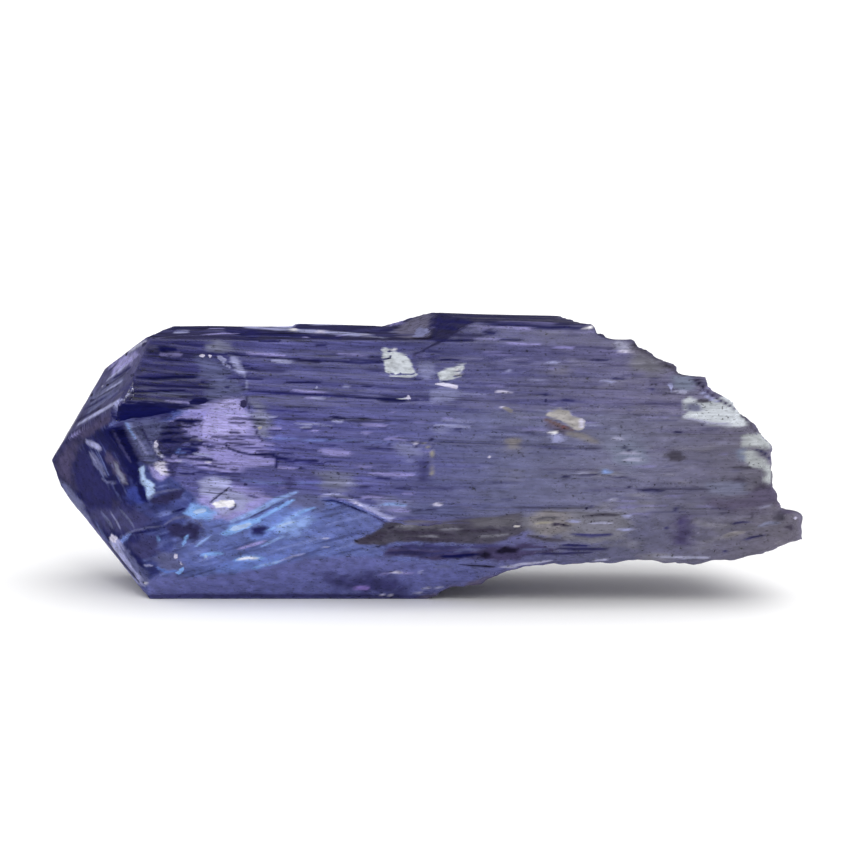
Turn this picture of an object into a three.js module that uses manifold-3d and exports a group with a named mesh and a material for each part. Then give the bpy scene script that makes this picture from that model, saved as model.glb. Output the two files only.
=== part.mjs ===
// A rough tanzanite crystal (blue-violet zoisite), lying on its side.
//
// Millimetres, +Z up. The striated prism runs along X: its glassy termination is at -X and its
// broken end at +X. The origin is under the middle of the crystal, on the surface it rests on.
// The whole stone is one piece: a prism with growth ledges, cut by the facets of the
// termination, by the fractures of the broken end and of the underside, and by shallow chips.

import * as THREE from 'three';
import { mergeVertices } from 'three/addons/utils/BufferGeometryUtils.js';
import Module from 'manifold-3d';

const wasm = await Module();
wasm.setup();

// ---------------------------------------------------------------- driving dimensions

const LENGTH = 32;
const LEFT = -LENGTH / 2;
const RIGHT = LENGTH / 2;

const STATION_STEP = 0.8; // between cross-sections along the prism
const RISER_RUN = 0.06; // how far a growth ledge leans
const LEDGE_HEIGHT = 0.14; // the tallest growth ledge
const LEDGE_MIDDLE = 0.7; // share of the ledge height that lies below the plane of the face
const PLATEAU = 5.5; // usual length of one growth ledge
const RAMP = 1.4; // a ledge fades in or out over this length
const LUMP = 0.22; // relief of a broken surface
const UNDERCUT_LUMP = 0.13; // relief of the smoother break on the underside
const LUMP_LENGTH = 1.15; // usual distance between lumps from front to back
const LUMP_SHIFT = 3.1; // keeps the lumps of neighbouring lines apart
const FRACTURE_DEPTH = 14; // the breaks run this far through the stone, front to back
const FRACTURE_SLICES = 16; // sections of a break from front to back
const SCOOP_SIDES = 48; // of the round body that a shell-shaped fracture follows
const FRONT = -9; // a plane clear of the front of the stone
const BELOW = -1; // a plane clear of its underside
const FAR = 40; // cutters reach this far past the stone

// The corners of the cross-section as [y, z], from the back of the top over the front (-Y),
// under the base and up the back. The prism runs straight between these sections.
const SECTIONS = [
  {
    x: LEFT - 1,
    corners: [[1.0, 11.3], [-1.7, 11.5], [-3.1, 9.0], [-3.7, 4.0], [-1.9, 0],
      [1.7, 0], [3.0, 2.9], [3.4, 6.2], [2.7, 9.3]],
  },
  {
    x: 0,
    corners: [[1.0, 11.25], [-1.7, 11.4], [-3.35, 8.85], [-3.8, 3.9], [-1.9, 0],
      [1.7, 0], [3.1, 2.7], [3.6, 5.9], [2.9, 9.1]],
  },
  {
    x: RIGHT + 1,
    corners: [[0.7, 11.1], [-1.7, 11.25], [-3.3, 8.4], [-3.5, 4.2], [-2.3, 0],
      [0.9, 0], [2.1, 2.6], [2.5, 5.6], [2.0, 8.7]],
  },
];

// Growth ledges on each face of the prism, as shares of the way across the face, and how far
// each drifts across it, in shares per millimetre along X.
const FACE_LEDGES = [
  { face: 'top', at: [0.4, 0.72], drift: 0.001 },
  { face: 'upper front', at: [0.2, 0.42, 0.6, 0.84], drift: 0.007 },
  { face: 'middle front', at: [0.12, 0.3, 0.5, 0.68, 0.86], drift: 0.004 },
  { face: 'lower front', at: [], drift: 0 },
  { face: 'base', at: [], drift: 0 },
  { face: 'lower back', at: [0.5], drift: 0 },
  { face: 'middle back', at: [0.25, 0.6, 0.85], drift: -0.003 },
  { face: 'upper back', at: [0.3, 0.55, 0.8], drift: 0.003 },
  { face: 'back bevel', at: [0.35, 0.7], drift: -0.002 },
];

// The plane facets of the termination: a point that each passes through, and its outward
// direction. Dome and main meet in the chisel edge, and cheek and jowl fan out from its upper
// end to carry main round into the front.
const FACETS = {
  dome: { through: [-13.0, -3.1, 8.9], facing: [-0.84, -0.16, 0.52] },
  bevel: { through: [-12.7, 0.1, 10.4], facing: [-0.5, 0.3, 0.8] },
  main: { through: [-13.0, -3.1, 8.9], facing: [-0.8, -0.58, -0.18] },
  cheek: { through: [-12.95, -3.1, 8.85], facing: [-0.6, -0.76, -0.18] },
  jowl: { through: [-12.9, -3.1, 8.8], facing: [-0.36, -0.92, -0.17] },
  strip: { through: [-12.3, -1.5, 0.65], facing: [-0.8, -0.24, -0.55] },
  toe: { through: [-11.78, -1.9, 0], facing: [-0.73, -0.08, -0.68] },
  crown: { through: [-15.3, 0.8, 6.45], facing: [-0.87, 0.09, 0.49] },
  backDome: { through: [-14.6, 2.2, 7.4], facing: [-0.5, 0.8, 0.33] },
  backLow: { through: [-16.0, 2.2, 4.9], facing: [-0.55, 0.76, -0.36] },
};

// Growth slabs that stand on the top of the prism: section as [y, z], how far each falls from
// its start to its end, and the sloping break where it begins.
const SLABS = {
  crest: {
    from: -3,
    to: 14,
    corners: [[1.8, 10.9], [1.2, 11.95], [-1.2, 12.25], [-1.95, 11.5], [-2.15, 10.9], [-0.5, 10.2]],
    drop: 0.55,
    start: { through: [-1.0, 1.0, 11.3], facing: [-0.37, -0.19, 0.91] },
  },
  lip: {
    from: -5.8,
    to: -1.9,
    corners: [[1.5, 10.7], [1.1, 11.38], [0.4, 11.4], [0.2, 10.7]],
    drop: 0.12,
    start: { through: [-5.6, 0.8, 11.3], facing: [-0.8, 0, 0.6] },
  },
};

// The broken end, seen from the front, as [x, z] from the top of the stone down to the tip
// of its tongue.
const BROKEN_END = [
  [6.9, 13.0], [7.15, 12.15], [7.5, 11.75], [7.9, 11.55], [8.85, 11.33], [9.05, 11.1],
  [9.4, 11.1], [9.75, 10.85], [10.2, 10.7], [10.55, 10.3], [10.8, 10.15], [11.3, 10.1],
  [11.9, 9.9], [12.3, 9.55], [12.9, 9.1], [13.6, 8.5], [14.2, 7.8], [14.6, 7.25],
  [14.8, 6.25], [14.9, 5.45], [15.0, 4.7], [15.4, 4.55], [15.85, 4.2], [16.0, 3.75],
  [16.0, 2.4],
];
const BROKEN_LEAN = 0.4; // the break runs back towards -X by this much per millimetre of depth
const BROKEN_DROP = 0.35; // and falls by this much per millimetre of depth
const BROKEN_LUMPS = 3; // picks its pattern of lumps

// The hollow under the broken end, as [x, z] from the base to the tip of the tongue.
const UNDERCUT = [
  [-0.4, -1.0], [0.3, 0.1], [1.0, 0.5], [2.4, 0.95], [3.8, 1.45], [5.4, 1.85], [7.8, 1.9],
  [9.6, 1.95], [11.4, 1.85], [12.7, 2.05], [13.8, 2.25], [15.0, 2.6], [16.0, 3.0], [17.5, 3.5],
];
const UNDERCUT_RISE = 0.12; // it climbs towards the back by this much per millimetre
const UNDERCUT_LUMPS = 11; // picks its pattern of lumps

// The smooth lower front broke away under this ledge: [x, z, how far it is set back].
const LEDGE_LINE = [
  [-17.5, 5.4, 0.0], [-9.4, 5.3, 0.0], [-7.0, 5.24, 0.04], [-4.6, 4.94, 0.2],
  [-3.4, 4.85, 0.26], [-2.65, 4.55, 0.26], [-1.65, 3.95, 0.2], [0.5, 3.9, 0.14],
  [2.3, 3.9, 0.1], [4.5, 3.9, 0.0], [6.0, 3.7, -0.1],
];

// The flake that left the front beside the termination. Its roof slopes in under the upper
// front face, and it gets shallower from left to right: [x, depth].
const FLAKE = {
  roof: 8.75,
  roofRise: 0.3,
  floor: 5.0,
  depths: [[-17, 2.4], [-13.5, 1.3], [-12, 0.95], [-10.5, 0.58], [-9.3, 0.28], [-8, 0.1], [-6.2, 0.01]],
};

// Shallow shell-shaped fractures: centre and radii of the round body that each was struck
// along, and how it is turned about X and then about Y, in degrees.
const SCOOPS = {
  shoulder: { centre: [-10.2, -5.0, 11.4], radii: [6.6, 3.0, 4.9], tilt: -30, turn: 4 },
  cheek: { centre: [-9.7, -6.42, 7.2], radii: [7.3, 3.0, 5.2], tilt: 0, turn: 8 },
  backCrest: { centre: [8.6, 5.2, 9.9], radii: [5.6, 3.6, 3.2], tilt: -20, turn: 14 },
  backFoot: { centre: [-3.4, 5.7, 0.2], radii: [6.4, 3.4, 3.4], tilt: 20, turn: -8 },
  backCheek: { centre: [-13.2, 5.6, 8.4], radii: [4.2, 3.5, 3.4], tilt: 0, turn: 10 },
};

// Shallow pits, some of which hold matrix: where each lies, and its size along X, into the stone
// and across.
const PITS = [
  { at: [-1.25, -2.42, 10.58], size: [0.8, 0.32, 0.6] },
  { at: [1.05, -2.74, 10.08], size: [0.75, 0.3, 0.42] },
  { at: [5.9, -3.6, 8.1], size: [0.9, 0.3, 0.5] },
  { at: [12.2, -3.52, 8.5], size: [1.5, 0.32, 0.62] },
  { at: [14.3, -3.62, 6.3], size: [0.9, 0.32, 1.1] },
  { at: [-14.2, 0.4, 8.75], size: [0.22, 0.3, 0.14] },
  { at: [-13.4, -1.2, 9.75], size: [0.26, 0.24, 0.12] },
  { at: [3.4, 3.2, 8.2], size: [1.1, 0.3, 0.4] },
  { at: [-7.5, 3.42, 4.6], size: [0.9, 0.3, 0.35] },
  { at: [6.2, 3.0, 4.0], size: [0.6, 0.26, 0.3] },
];

// ---------------------------------------------------------------- helpers

// The same pseudo-random share of 1 for the same number, every time.
function chance(number) {
  const wave = Math.sin(number * 127.1 + 31.7) * 43758.5453;
  return wave - Math.floor(wave);
}

// A number that runs smoothly between random values at whole steps.
function wander(at, seed) {
  const step = Math.floor(at);
  const share = THREE.MathUtils.smoothstep(at - step, 0, 1);
  return THREE.MathUtils.lerp(chance(step + seed), chance(step + 1 + seed), share) * 2 - 1;
}

// The point of a line of rows at a given first value, straight between its rows.
function between(rows, at) {
  let i = 0;
  while (i < rows.length - 2 && at > rows[i + 1][0]) i += 1;
  const share = THREE.MathUtils.clamp((at - rows[i][0]) / (rows[i + 1][0] - rows[i][0]), 0, 1);
  return rows[i].map((value, k) => THREE.MathUtils.lerp(value, rows[i + 1][k], share));
}

// A closed skin over rings of points that all have the same count, with a fan at each end.
function loft(rings) {
  const count = rings[0].length;
  const positions = [];
  const indices = [];
  for (const ring of rings) ring.forEach((point) => positions.push(...point.toArray()));
  for (let i = 0; i + 1 < rings.length; i += 1) {
    for (let j = 0; j < count; j += 1) {
      const a = i * count + j;
      const b = i * count + ((j + 1) % count);
      indices.push(a, b, a + count, b, b + count, a + count);
    }
  }
  for (const [row, flipped] of [[0, true], [rings.length - 1, false]]) {
    const middle = new THREE.Vector3();
    rings[row].forEach((point) => middle.addScaledVector(point, 1 / count));
    const centre = positions.length / 3;
    positions.push(...middle.toArray());
    for (let j = 0; j < count; j += 1) {
      const pair = [row * count + j, row * count + ((j + 1) % count)];
      if (flipped) pair.reverse();
      indices.push(centre, pair[0], pair[1]);
    }
  }
  const geometry = new THREE.BufferGeometry();
  geometry.setAttribute('position', new THREE.Float32BufferAttribute(positions, 3));
  geometry.setIndex(indices);
  return geometry;
}

// A solid with its faces pointing out, whichever way round the geometry was drawn.
function toSolid(geometry) {
  geometry.deleteAttribute('normal');
  geometry.deleteAttribute('uv');
  const merged = mergeVertices(geometry, 1e-4);
  const vertProperties = merged.attributes.position.array;
  const triVerts = new Uint32Array(merged.index.array);
  const solid = new wasm.Manifold(new wasm.Mesh({ numProp: 3, vertProperties, triVerts }));
  if (solid.volume() > 0) return solid;
  triVerts.reverse();
  return new wasm.Manifold(new wasm.Mesh({ numProp: 3, vertProperties, triVerts }));
}

function toGeometry(solid) {
  const mesh = solid.getMesh();
  const geometry = new THREE.BufferGeometry();
  geometry.setAttribute('position', new THREE.Float32BufferAttribute(mesh.vertProperties, 3));
  geometry.setIndex([...mesh.triVerts]);
  return geometry;
}

// Everything on the outer side of a plane, as a large block.
function beyond({ through, facing }) {
  const block = new THREE.BoxGeometry(FAR, FAR, FAR);
  block.translate(0, 0, FAR / 2);
  const turn = new THREE.Quaternion().setFromUnitVectors(
    new THREE.Vector3(0, 0, 1),
    new THREE.Vector3(...facing).normalize(),
  );
  block.applyQuaternion(turn);
  block.translate(...through);
  return toSolid(block);
}

// ---------------------------------------------------------------- the prism

// The corners of the cross-section at x.
function cornersAt(x) {
  const last = SECTIONS.length - 2;
  let i = 0;
  while (i < last && x > SECTIONS[i + 1].x) i += 1;
  const [a, b] = [SECTIONS[i], SECTIONS[i + 1]];
  const share = THREE.MathUtils.clamp((x - a.x) / (b.x - a.x), 0, 1);
  return a.corners.map((corner, k) => new THREE.Vector2(...corner)
    .lerp(new THREE.Vector2(...b.corners[k]), share));
}

// How far one growth band stands out at x: level along each plateau, with short ramps between.
function bandHeight(band, x) {
  const along = (x - LEFT) / PLATEAU + chance(band) * 3;
  const step = Math.floor(along);
  const ramp = RAMP / PLATEAU;
  const share = THREE.MathUtils.smoothstep(along - step, 1 - ramp, 1);
  const height = THREE.MathUtils.lerp(chance(step + band * 7), chance(step + 1 + band * 7), share);
  return (height - LEDGE_MIDDLE) * LEDGE_HEIGHT;
}

function prismRing(x) {
  const corners = cornersAt(x);
  const ring = [];
  FACE_LEDGES.forEach(({ at, drift }, face) => {
    const start = corners[face];
    const end = corners[(face + 1) % corners.length];
    const along = end.clone().sub(start);
    const width = along.length();
    const outward = new THREE.Vector2(along.y, -along.x).divideScalar(width);
    ring.push(new THREE.Vector3(x, start.x, start.y));
    at.forEach((place, ledge) => {
      for (const side of [0, 1]) {
        const share = place + drift * x + (side - 0.5) * (RISER_RUN / width);
        const out = bandHeight(face * 10 + ledge + side, x);
        const point = start.clone().lerp(end, share).addScaledVector(outward, out);
        ring.push(new THREE.Vector3(x, point.x, point.y));
      }
    });
  });
  return ring;
}

function prism() {
  const rings = [];
  const [start, end] = [SECTIONS[0].x, SECTIONS.at(-1).x];
  for (let x = start; x < end; x += STATION_STEP) rings.push(prismRing(x));
  return toSolid(loft([...rings, prismRing(end)]));
}

// A growth slab on the top, falling slightly towards its end.
function slab({ from, to, corners, drop, start }) {
  const rings = [];
  const count = Math.round((to - from) / STATION_STEP);
  for (let i = 0; i <= count; i += 1) {
    const share = i / count;
    const x = THREE.MathUtils.lerp(from, to, share);
    rings.push(corners.map(([y, z]) => new THREE.Vector3(x, y, z - drop * share)));
  }
  return toSolid(loft(rings)).subtract(beyond(start));
}

// ---------------------------------------------------------------- fractures

// Where the front of the stone stands at height z, near its broken end.
function frontAt(z) {
  const [, top, shoulder, belt, base] = SECTIONS.at(-1).corners;
  const line = [base, belt, shoulder, top];
  return between(line.map(([y, height]) => [height, y]), z)[1];
}

// A cutter with a lumpy face: the outline, closed far out at +X and far above or below, repeated
// through the depth of the stone, leaning and falling as it goes back.
function fracture(outline, farHeight, { lean, drop, lump, seed }) {
  const [[firstX]] = outline;
  const [, lastHeight] = outline.at(-1);
  const farCorners = [[FAR, lastHeight], [FAR, farHeight], [firstX, farHeight]];
  const rings = [];
  for (let i = 0; i <= FRACTURE_SLICES; i += 1) {
    const y = (i / FRACTURE_SLICES - 0.5) * FRACTURE_DEPTH;
    const points = outline.map(([x, z], line) => {
      const back = y - frontAt(z);
      const place = y / LUMP_LENGTH + line * LUMP_SHIFT;
      const [outward, upward] = [wander(place, seed), wander(-place, seed)];
      return new THREE.Vector3(x - lean * back + lump * outward, y, z - drop * back + lump * upward);
    });
    const far = farCorners.map(([x, z]) => new THREE.Vector3(x, y, z));
    rings.push([...points, ...far]);
  }
  return toSolid(loft(rings));
}

// The smooth break below the ledge on the front.
function underLedge() {
  const rings = [];
  for (let x = LEDGE_LINE[0][0]; x <= LEDGE_LINE.at(-1)[0]; x += STATION_STEP) {
    const [, z, setBack] = between(LEDGE_LINE, x);
    const [, , , belt, foot] = cornersAt(x);
    rings.push([[FRONT, z], [belt.x + setBack, z], [foot.x, foot.y], [foot.x, BELOW], [FRONT, BELOW]]
      .map(([y, height]) => new THREE.Vector3(x, y, height)));
  }
  return toSolid(loft(rings));
}

// The flake beside the termination: under its roof the break comes forward again to the floor.
function flake() {
  const rings = [];
  const { roof, roofRise, floor, depths } = FLAKE;
  const count = Math.round((depths.at(-1)[0] - depths[0][0]) / STATION_STEP);
  for (let i = 0; i <= count; i += 1) {
    const x = THREE.MathUtils.lerp(depths[0][0], depths.at(-1)[0], i / count);
    const [, depth] = between(depths, x);
    const [, , shoulder, belt] = cornersAt(x);
    const lean = (shoulder.x - belt.x) / (shoulder.y - belt.y);
    const [top, foot] = [roof, floor].map((z) => belt.x + (z - belt.y) * lean);
    rings.push([[FRONT, roof + roofRise], [top, roof], [top + depth, roof - depth], [foot, floor],
      [FRONT, floor]].map(([y, height]) => new THREE.Vector3(x, y, height)));
  }
  return toSolid(loft(rings));
}

function scoop({ centre, radii, tilt, turn }) {
  const ball = new THREE.SphereGeometry(1, SCOOP_SIDES, SCOOP_SIDES / 2);
  ball.scale(...radii);
  ball.rotateX(THREE.MathUtils.degToRad(tilt));
  ball.rotateY(THREE.MathUtils.degToRad(turn));
  ball.translate(...centre);
  return toSolid(ball);
}

function pit({ at, size }) {
  const hollow = new THREE.IcosahedronGeometry(1, 0);
  hollow.scale(...size);
  hollow.translate(...at);
  return toSolid(hollow);
}

// ---------------------------------------------------------------- the crystal

function crystal() {
  let stone = prism();
  for (const layer of Object.values(SLABS)) stone = stone.add(slab(layer));
  for (const facet of Object.values(FACETS)) stone = stone.subtract(beyond(facet));
  for (const shell of Object.values(SCOOPS)) stone = stone.subtract(scoop(shell));
  for (const hollow of PITS) stone = stone.subtract(pit(hollow));
  const brokenEnd = fracture(
    BROKEN_END,
    FAR,
    { lean: BROKEN_LEAN, drop: BROKEN_DROP, lump: LUMP, seed: BROKEN_LUMPS },
  );
  const undercut = fracture(
    UNDERCUT,
    -FAR,
    { lean: 0, drop: -UNDERCUT_RISE, lump: UNDERCUT_LUMP, seed: UNDERCUT_LUMPS },
  );
  for (const cut of [brokenEnd, undercut, underLedge(), flake()]) stone = stone.subtract(cut);
  return toGeometry(stone);
}

// The origin goes to the middle of the footprint of the bounding box.
const shape = crystal();
shape.computeBoundingBox();
const { min, max } = shape.boundingBox;
shape.translate(-(min.x + max.x) / 2, -(min.y + max.y) / 2, -min.z);

const gem = new THREE.MeshStandardMaterial({ color: '#595a8d', roughness: 0.3, metalness: 0 });
const stone = new THREE.Mesh(shape, gem);
stone.name = 'tanzanite_crystal';

const group = new THREE.Group();
group.add(stone);

export default group;
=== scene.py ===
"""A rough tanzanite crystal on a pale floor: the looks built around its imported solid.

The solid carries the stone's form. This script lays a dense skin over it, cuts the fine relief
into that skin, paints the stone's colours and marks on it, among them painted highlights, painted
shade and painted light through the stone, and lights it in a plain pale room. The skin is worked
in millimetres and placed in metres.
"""

import itertools
import math

import bpy
import numpy as np
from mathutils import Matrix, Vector
from mathutils.bvhtree import BVHTree


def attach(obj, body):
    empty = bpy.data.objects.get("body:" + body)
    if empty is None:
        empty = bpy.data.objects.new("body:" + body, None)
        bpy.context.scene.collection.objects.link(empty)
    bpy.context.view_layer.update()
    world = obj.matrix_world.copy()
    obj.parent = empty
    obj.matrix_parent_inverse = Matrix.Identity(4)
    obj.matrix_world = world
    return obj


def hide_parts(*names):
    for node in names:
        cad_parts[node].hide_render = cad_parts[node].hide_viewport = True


MM = 0.001
NODE = "tanzanite_crystal"

# ---------------------------------------------------------------- named values

# The display view: straight at the front of the stone, from a little above.
VIEW_ELEVATION = math.radians(16)
AIM_HEIGHT = 7.16
LENS = 900
SENSOR = 36
VIEW_WIDTH = 36.33

# The skin: its voxel, how finely it is cut along the stone as (x, cuts per voxel), how much
# coarser it gets towards the back as (y, share), and the x range and steps to work that out in.
VOXEL = 0.071
SKIN_ALONG = [(-15, 1.0), (-14, 0.8), (-8.5, 0.8), (-6, 0.5), (0, 0.42), (8, 0.35), (18, 0.4)]
SKIN_DEPTH = [(-2.5, 1.0), (2.5, 0.4)]
SKIN_RANGE = (-18, 18, 721)

# The grain: growth lines run along the stone and dip towards +X, most at the termination.
GRAIN_SLOPE = 0.045
GRAIN_FLATTENS = 0.0035
BROKEN_GRAIN = 7  # the grain is this much shorter on broken faces

# The marks on the front are laid out on a sheet that leans back with the display view. A place
# on it is (x, v): x along the stone, v up the sheet from the foot of the front.
FOOT_Y = -1.8
EDGE_ON = 0.02  # faces that turn to the sheet by less than this cosine take no marks

# The plane facets of the termination, by their outward directions.
FACETS = {
    "dome": (-0.84, -0.16, 0.52),
    "bevel": (-0.5, 0.3, 0.8),
    "main": (-0.8, -0.58, -0.18),
    "cheek": (-0.6, -0.76, -0.18),
    "jowl": (-0.36, -0.92, -0.17),
    "strip": (-0.8, -0.24, -0.55),
    "toe": (-0.73, -0.08, -0.68),
    "crown": (-0.87, 0.09, 0.49),
    "back dome": (-0.5, 0.8, 0.33),
    "back low": (-0.55, 0.76, -0.36),
}
FACET_MATCH = 0.985  # the least cosine between a facet's direction and a face on it
FACETS_END = -9  # no facet reaches this x
FACE_BLEND = 2  # rounds of evening out that blend one kind of face into the next

# The other kinds of face, by the parts of their outward direction and by where they are.
UPPER_FRONT_NZ = 0.3
LOWER_FRONT_NZ = -0.25
TOP_NZ = 0.8
UNDERCUT_NZ, UNDERCUT_X = -0.6, -1
BASE_NZ, BASE_Z = -0.95, 0.05
BROKEN_NX, BROKEN_X = 0.35, 5
BACK_FROM = (0.15, 0.5)  # the marks on the back fade in over this range of ny

# The room: how high up, as the sine of the elevation, it turns from dim to bright, and how much
# brighter its two side walls are, by a power of how squarely a direction points at them.
ROOM_RISE = (0.12, 1.0)
ROOM_LIGHT = (0.13, 0.8)
SIDE_LIGHT = 0.88
SIDE_POWER = 1.8
KEY_FROM = (0.31, -0.15, 1.0)
KEY_SPREAD = math.radians(69)
KEY_POWER = 1.79
FLOOR_WHITE = 0.93
FLOOR_SHADE = 0.5  # how much of the floor's light is left close to the stone
FLOOR_CLEARS = (-0.9, -0.25)  # that shade ends where rays go down no more steeply than this
FLOOR_SIZE = 4
FLOOR_ROUGHNESS = 0.9
LIGHT_RAYS = 600  # that the light on a face is added up from

STONE_IOR = 1.69
STONE_SHINE = 0.004
STONE_ROUGHNESS = (0.36, 0.52)  # by wear, and CLEAR_POLISH less where it is fully clear
CLEAR_POLISH = 0.5
ABSORPTION_COLOUR = (0.11, 0.11, 0.49)
ABSORPTION_DENSITY = 340

# What the shine and the light through the stone add to any colour.
SHINE = (0.002, 0.002, 0.002)
GLOW = (0.02, 0.02, 0.05)
ALBEDO_RANGE = (0.004, 0.93)

# Colours as the eye sees them on the stone, in screen values, and how clear each is. Some stand
# for light: glint is a painted highlight, ice and sky are mostly painted highlights and flashes of
# light inside the stone, blue glow is painted light shining through it, and violet spark is a
# painted sparkle.
TINTS = {
    "night": (20, 21, 70, 0.05),
    "navy": (34, 33, 84, 0.08),
    "ink": (44, 42, 80, 0.08),
    "black": (30, 26, 46, 0.03),
    "plum": (66, 60, 94, 0.08),
    "dusk": (58, 57, 102, 0.12),
    "slate": (88, 91, 132, 0.15),
    "lilac": (136, 131, 188, 0.3),
    "pale lilac": (162, 156, 210, 0.25),
    "grey lilac": (118, 120, 162, 0.25),
    "haze": (150, 152, 194, 0.2),
    "mist": (156, 156, 184, 0.15),
    "frost": (204, 200, 224, 0.05),
    "glint": (248, 246, 252, 0.0),
    "ice": (174, 196, 236, 0.1),
    "sky": (136, 177, 242, 0.15),
    "blue": (84, 110, 182, 0.4),
    "royal": (46, 56, 126, 0.15),
    "pale blue": (132, 156, 212, 0.2),
    "blue glow": (98, 118, 186, 0.4),
    "deep violet": (90, 93, 148, 0.3),
    "violet spark": (132, 112, 184, 0.2),
    "ramp grey": (98, 95, 122, 0.2),
    "grey": (112, 114, 140, 0.15),
    "crust": (110, 109, 122, 0.05),
    "umber": (70, 67, 82, 0.08),
    "brown dusk": (88, 82, 106, 0.1),
    "brown": (104, 86, 88, 0.0),
    "rust": (128, 84, 84, 0.0),
    "tan": (124, 120, 126, 0.1),
    "straw": (148, 143, 132, 0.05),
    "cream": (168, 164, 164, 0.0),
    "olive": (92, 90, 100, 0.05),
    "teal grey": (114, 120, 144, 0.1),
    "dark brown": (62, 57, 74, 0.05),
    "rosy": (118, 102, 118, 0.05),
    "white": (196, 201, 209, 0.0),
    "matrix": (168, 172, 176, 0.0),
}

# The colour of each face along the stone, as rows of (x, red, green, blue), and its clearness.
FACE_TINTS = {
    "top": ([(-12, 50, 48, 84), (0, 44, 42, 77), (12, 62, 60, 88)], 0.1),
    "upper front": (
        [(-13, 43, 42, 87), (-10, 55, 54, 104), (-6, 78, 78, 131), (0, 79, 79, 129),
         (4, 86, 85, 130), (9, 99, 96, 132), (13, 98, 94, 123)],
        0.35,
    ),
    "middle front": (
        [(-12, 84, 84, 138), (-6, 79, 79, 136), (-1, 84, 85, 136), (3, 92, 94, 131),
         (8, 102, 102, 131), (12, 94, 92, 117), (16, 102, 98, 114)],
        0.35,
    ),
    # the lower front is a lighter blue towards the left, partly painted light shining through the stone
    "lower front": (
        [(-13, 66, 70, 124), (-9, 84, 97, 158), (-5, 88, 102, 164), (-1, 86, 93, 150),
         (4, 84, 84, 130), (8, 86, 86, 118), (15, 92, 88, 108)],
        0.45,
    ),
    "back": (
        [(-14, 70, 70, 120), (-8, 80, 83, 138), (-2, 82, 83, 132), (4, 80, 80, 124),
         (10, 94, 92, 120), (15, 96, 92, 108)],
        0.35,
    ),
    "base": ([(-12, 66, 66, 110), (0, 72, 70, 112)], 0.35),
    "undercut": ([(0, 62, 59, 96), (8, 78, 75, 102), (15, 92, 88, 104)], 0.2),
    "broken end": ([(7, 84, 81, 110), (16, 95, 91, 112)], 0.05),
    "dome": ([(-16, 60, 58, 98), (-12, 74, 72, 114)], 0.12),
    "bevel": ([(-13, 56, 54, 94), (-12, 64, 62, 102)], 0.15),
    "crown": ([(-16, 80, 76, 114), (-14, 88, 86, 124)], 0.15),
    "main": ([(-16, 32, 32, 78), (-12, 34, 35, 86)], 0.04),
    "cheek": ([(-13, 40, 43, 94), (-11, 54, 58, 112)], 0.06),
    "jowl": ([(-12, 56, 62, 116), (-9, 70, 78, 138)], 0.12),
    "strip": ([(-14, 88, 88, 134), (-11, 94, 94, 142)], 0.1),
    "toe": ([(-13, 74, 72, 114), (-11, 74, 72, 114)], 0.15),
    "back dome": ([(-16, 76, 78, 128), (-13, 84, 86, 136)], 0.5),
    "back low": ([(-16, 56, 60, 110), (-13, 66, 72, 126)], 0.6),
}

# The faces that carry growth lines along the stone, the broken ones, and the glassy ones, whose
# edges between them are evened out into soft bends.
STRIATED = ("top", "upper front", "middle front", "back")
BROKEN = ("broken end", "undercut")
GLASSY = ("main", "cheek", "jowl", "strip", "toe")
GLASS_ROUNDS = 100  # of evening out
GLASS_RIM = 50  # more rounds mean that it keeps further off the edges around those faces
GLASS_SHARE = (0.55, 0.95)  # of glassy face nearby, over which it sets in

# Noise: after how many cells it repeats, and the factor that brings it to about -1 to 1.
NOISE_CELLS = 256
NOISE_GAIN = 1.6

# Noise that makes up the relief and the colours: strength, bump sizes along X, Y and Z, and seed.
# The striae, both clouds and one fray run along the grain.
STRIAE = [
    (0.030, (7, 0.30, 0.30), 11), (0.016, (4, 0.14, 0.14), 12), (0.035, (5, 1.2, 1.2), 13),
]
CRUMBLE = [(0.13, (0.9, 0.7, 0.7), 14), (0.07, (0.35, 0.3, 0.3), 15)]
BLUNT_RIDGES = [(0.12, (2.4, 1.5, 1.1), 18)]
GLASS_WAVES = [(0.020, (1.6, 1.0, 0.7), 16)]
GROWTH_STEPS = [(0.012, (4, 4, 0.22), 17)]
GROWTH_TILT = 0.7  # by which the growth steps on the facets lean
CLOUDS = [(0.16, (3.5, 1.3, 1.1), 21), (0.10, (1.4, 0.5, 0.4), 22)]
TAN_CLOUDS = [(1, (2.4, 0.8, 0.6), 23), (0.5, (0.9, 0.25, 0.25), 24)]
STAINS = [(1, (1.4, 1.0, 0.8), 25), (0.5, (0.5, 0.4, 0.35), 26)]
FRAY_ALONG = [(1, (1.6, 0.2, 0.2), 31), (0.5, (0.6, 0.09, 0.09), 32)]
FRAY_LOOSE = [(1, (0.5, 0.5, 0.3), 33), (0.5, (0.2, 0.2, 0.15), 34)]

# The tints that noise adds, how far they cover, and the range of noise over which they come in:
# tan towards the broken end, dark and pale stains on broken faces, and streaks of light and dark
# inside the stone. Those rise towards +X by an angle in degrees, and have a length and a width.
# The sign says whether high or low noise brings a tint in, and "along" over which x it sets in.
TAN_CLOUD = (128, 126, 136)
TAN_COVER, TAN_RANGE, TAN_ALONG = 0.6, (0.1, 1.0), (0, 9)
STAIN_COVER = 0.6
STAIN_TINTS = [(1, (0.05, 0.8), (84, 72, 82)), (-1, (0.1, 0.9), (122, 122, 150))]
STREAK_COVER, STREAKS_ALONG = 0.6, (0.5, 4)
STREAK_TINTS = [(1, (0.15, 0.9), (120, 132, 190)), (-1, (0.1, 0.8), (26, 26, 78))]
FINE_STREAKS = (0.6, 2, 2.5)  # their strength, and how much shorter and thinner they are
STREAK_SEEDS = (50, 60)  # of the first face's streaks and fine streaks, one up for each face
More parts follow.
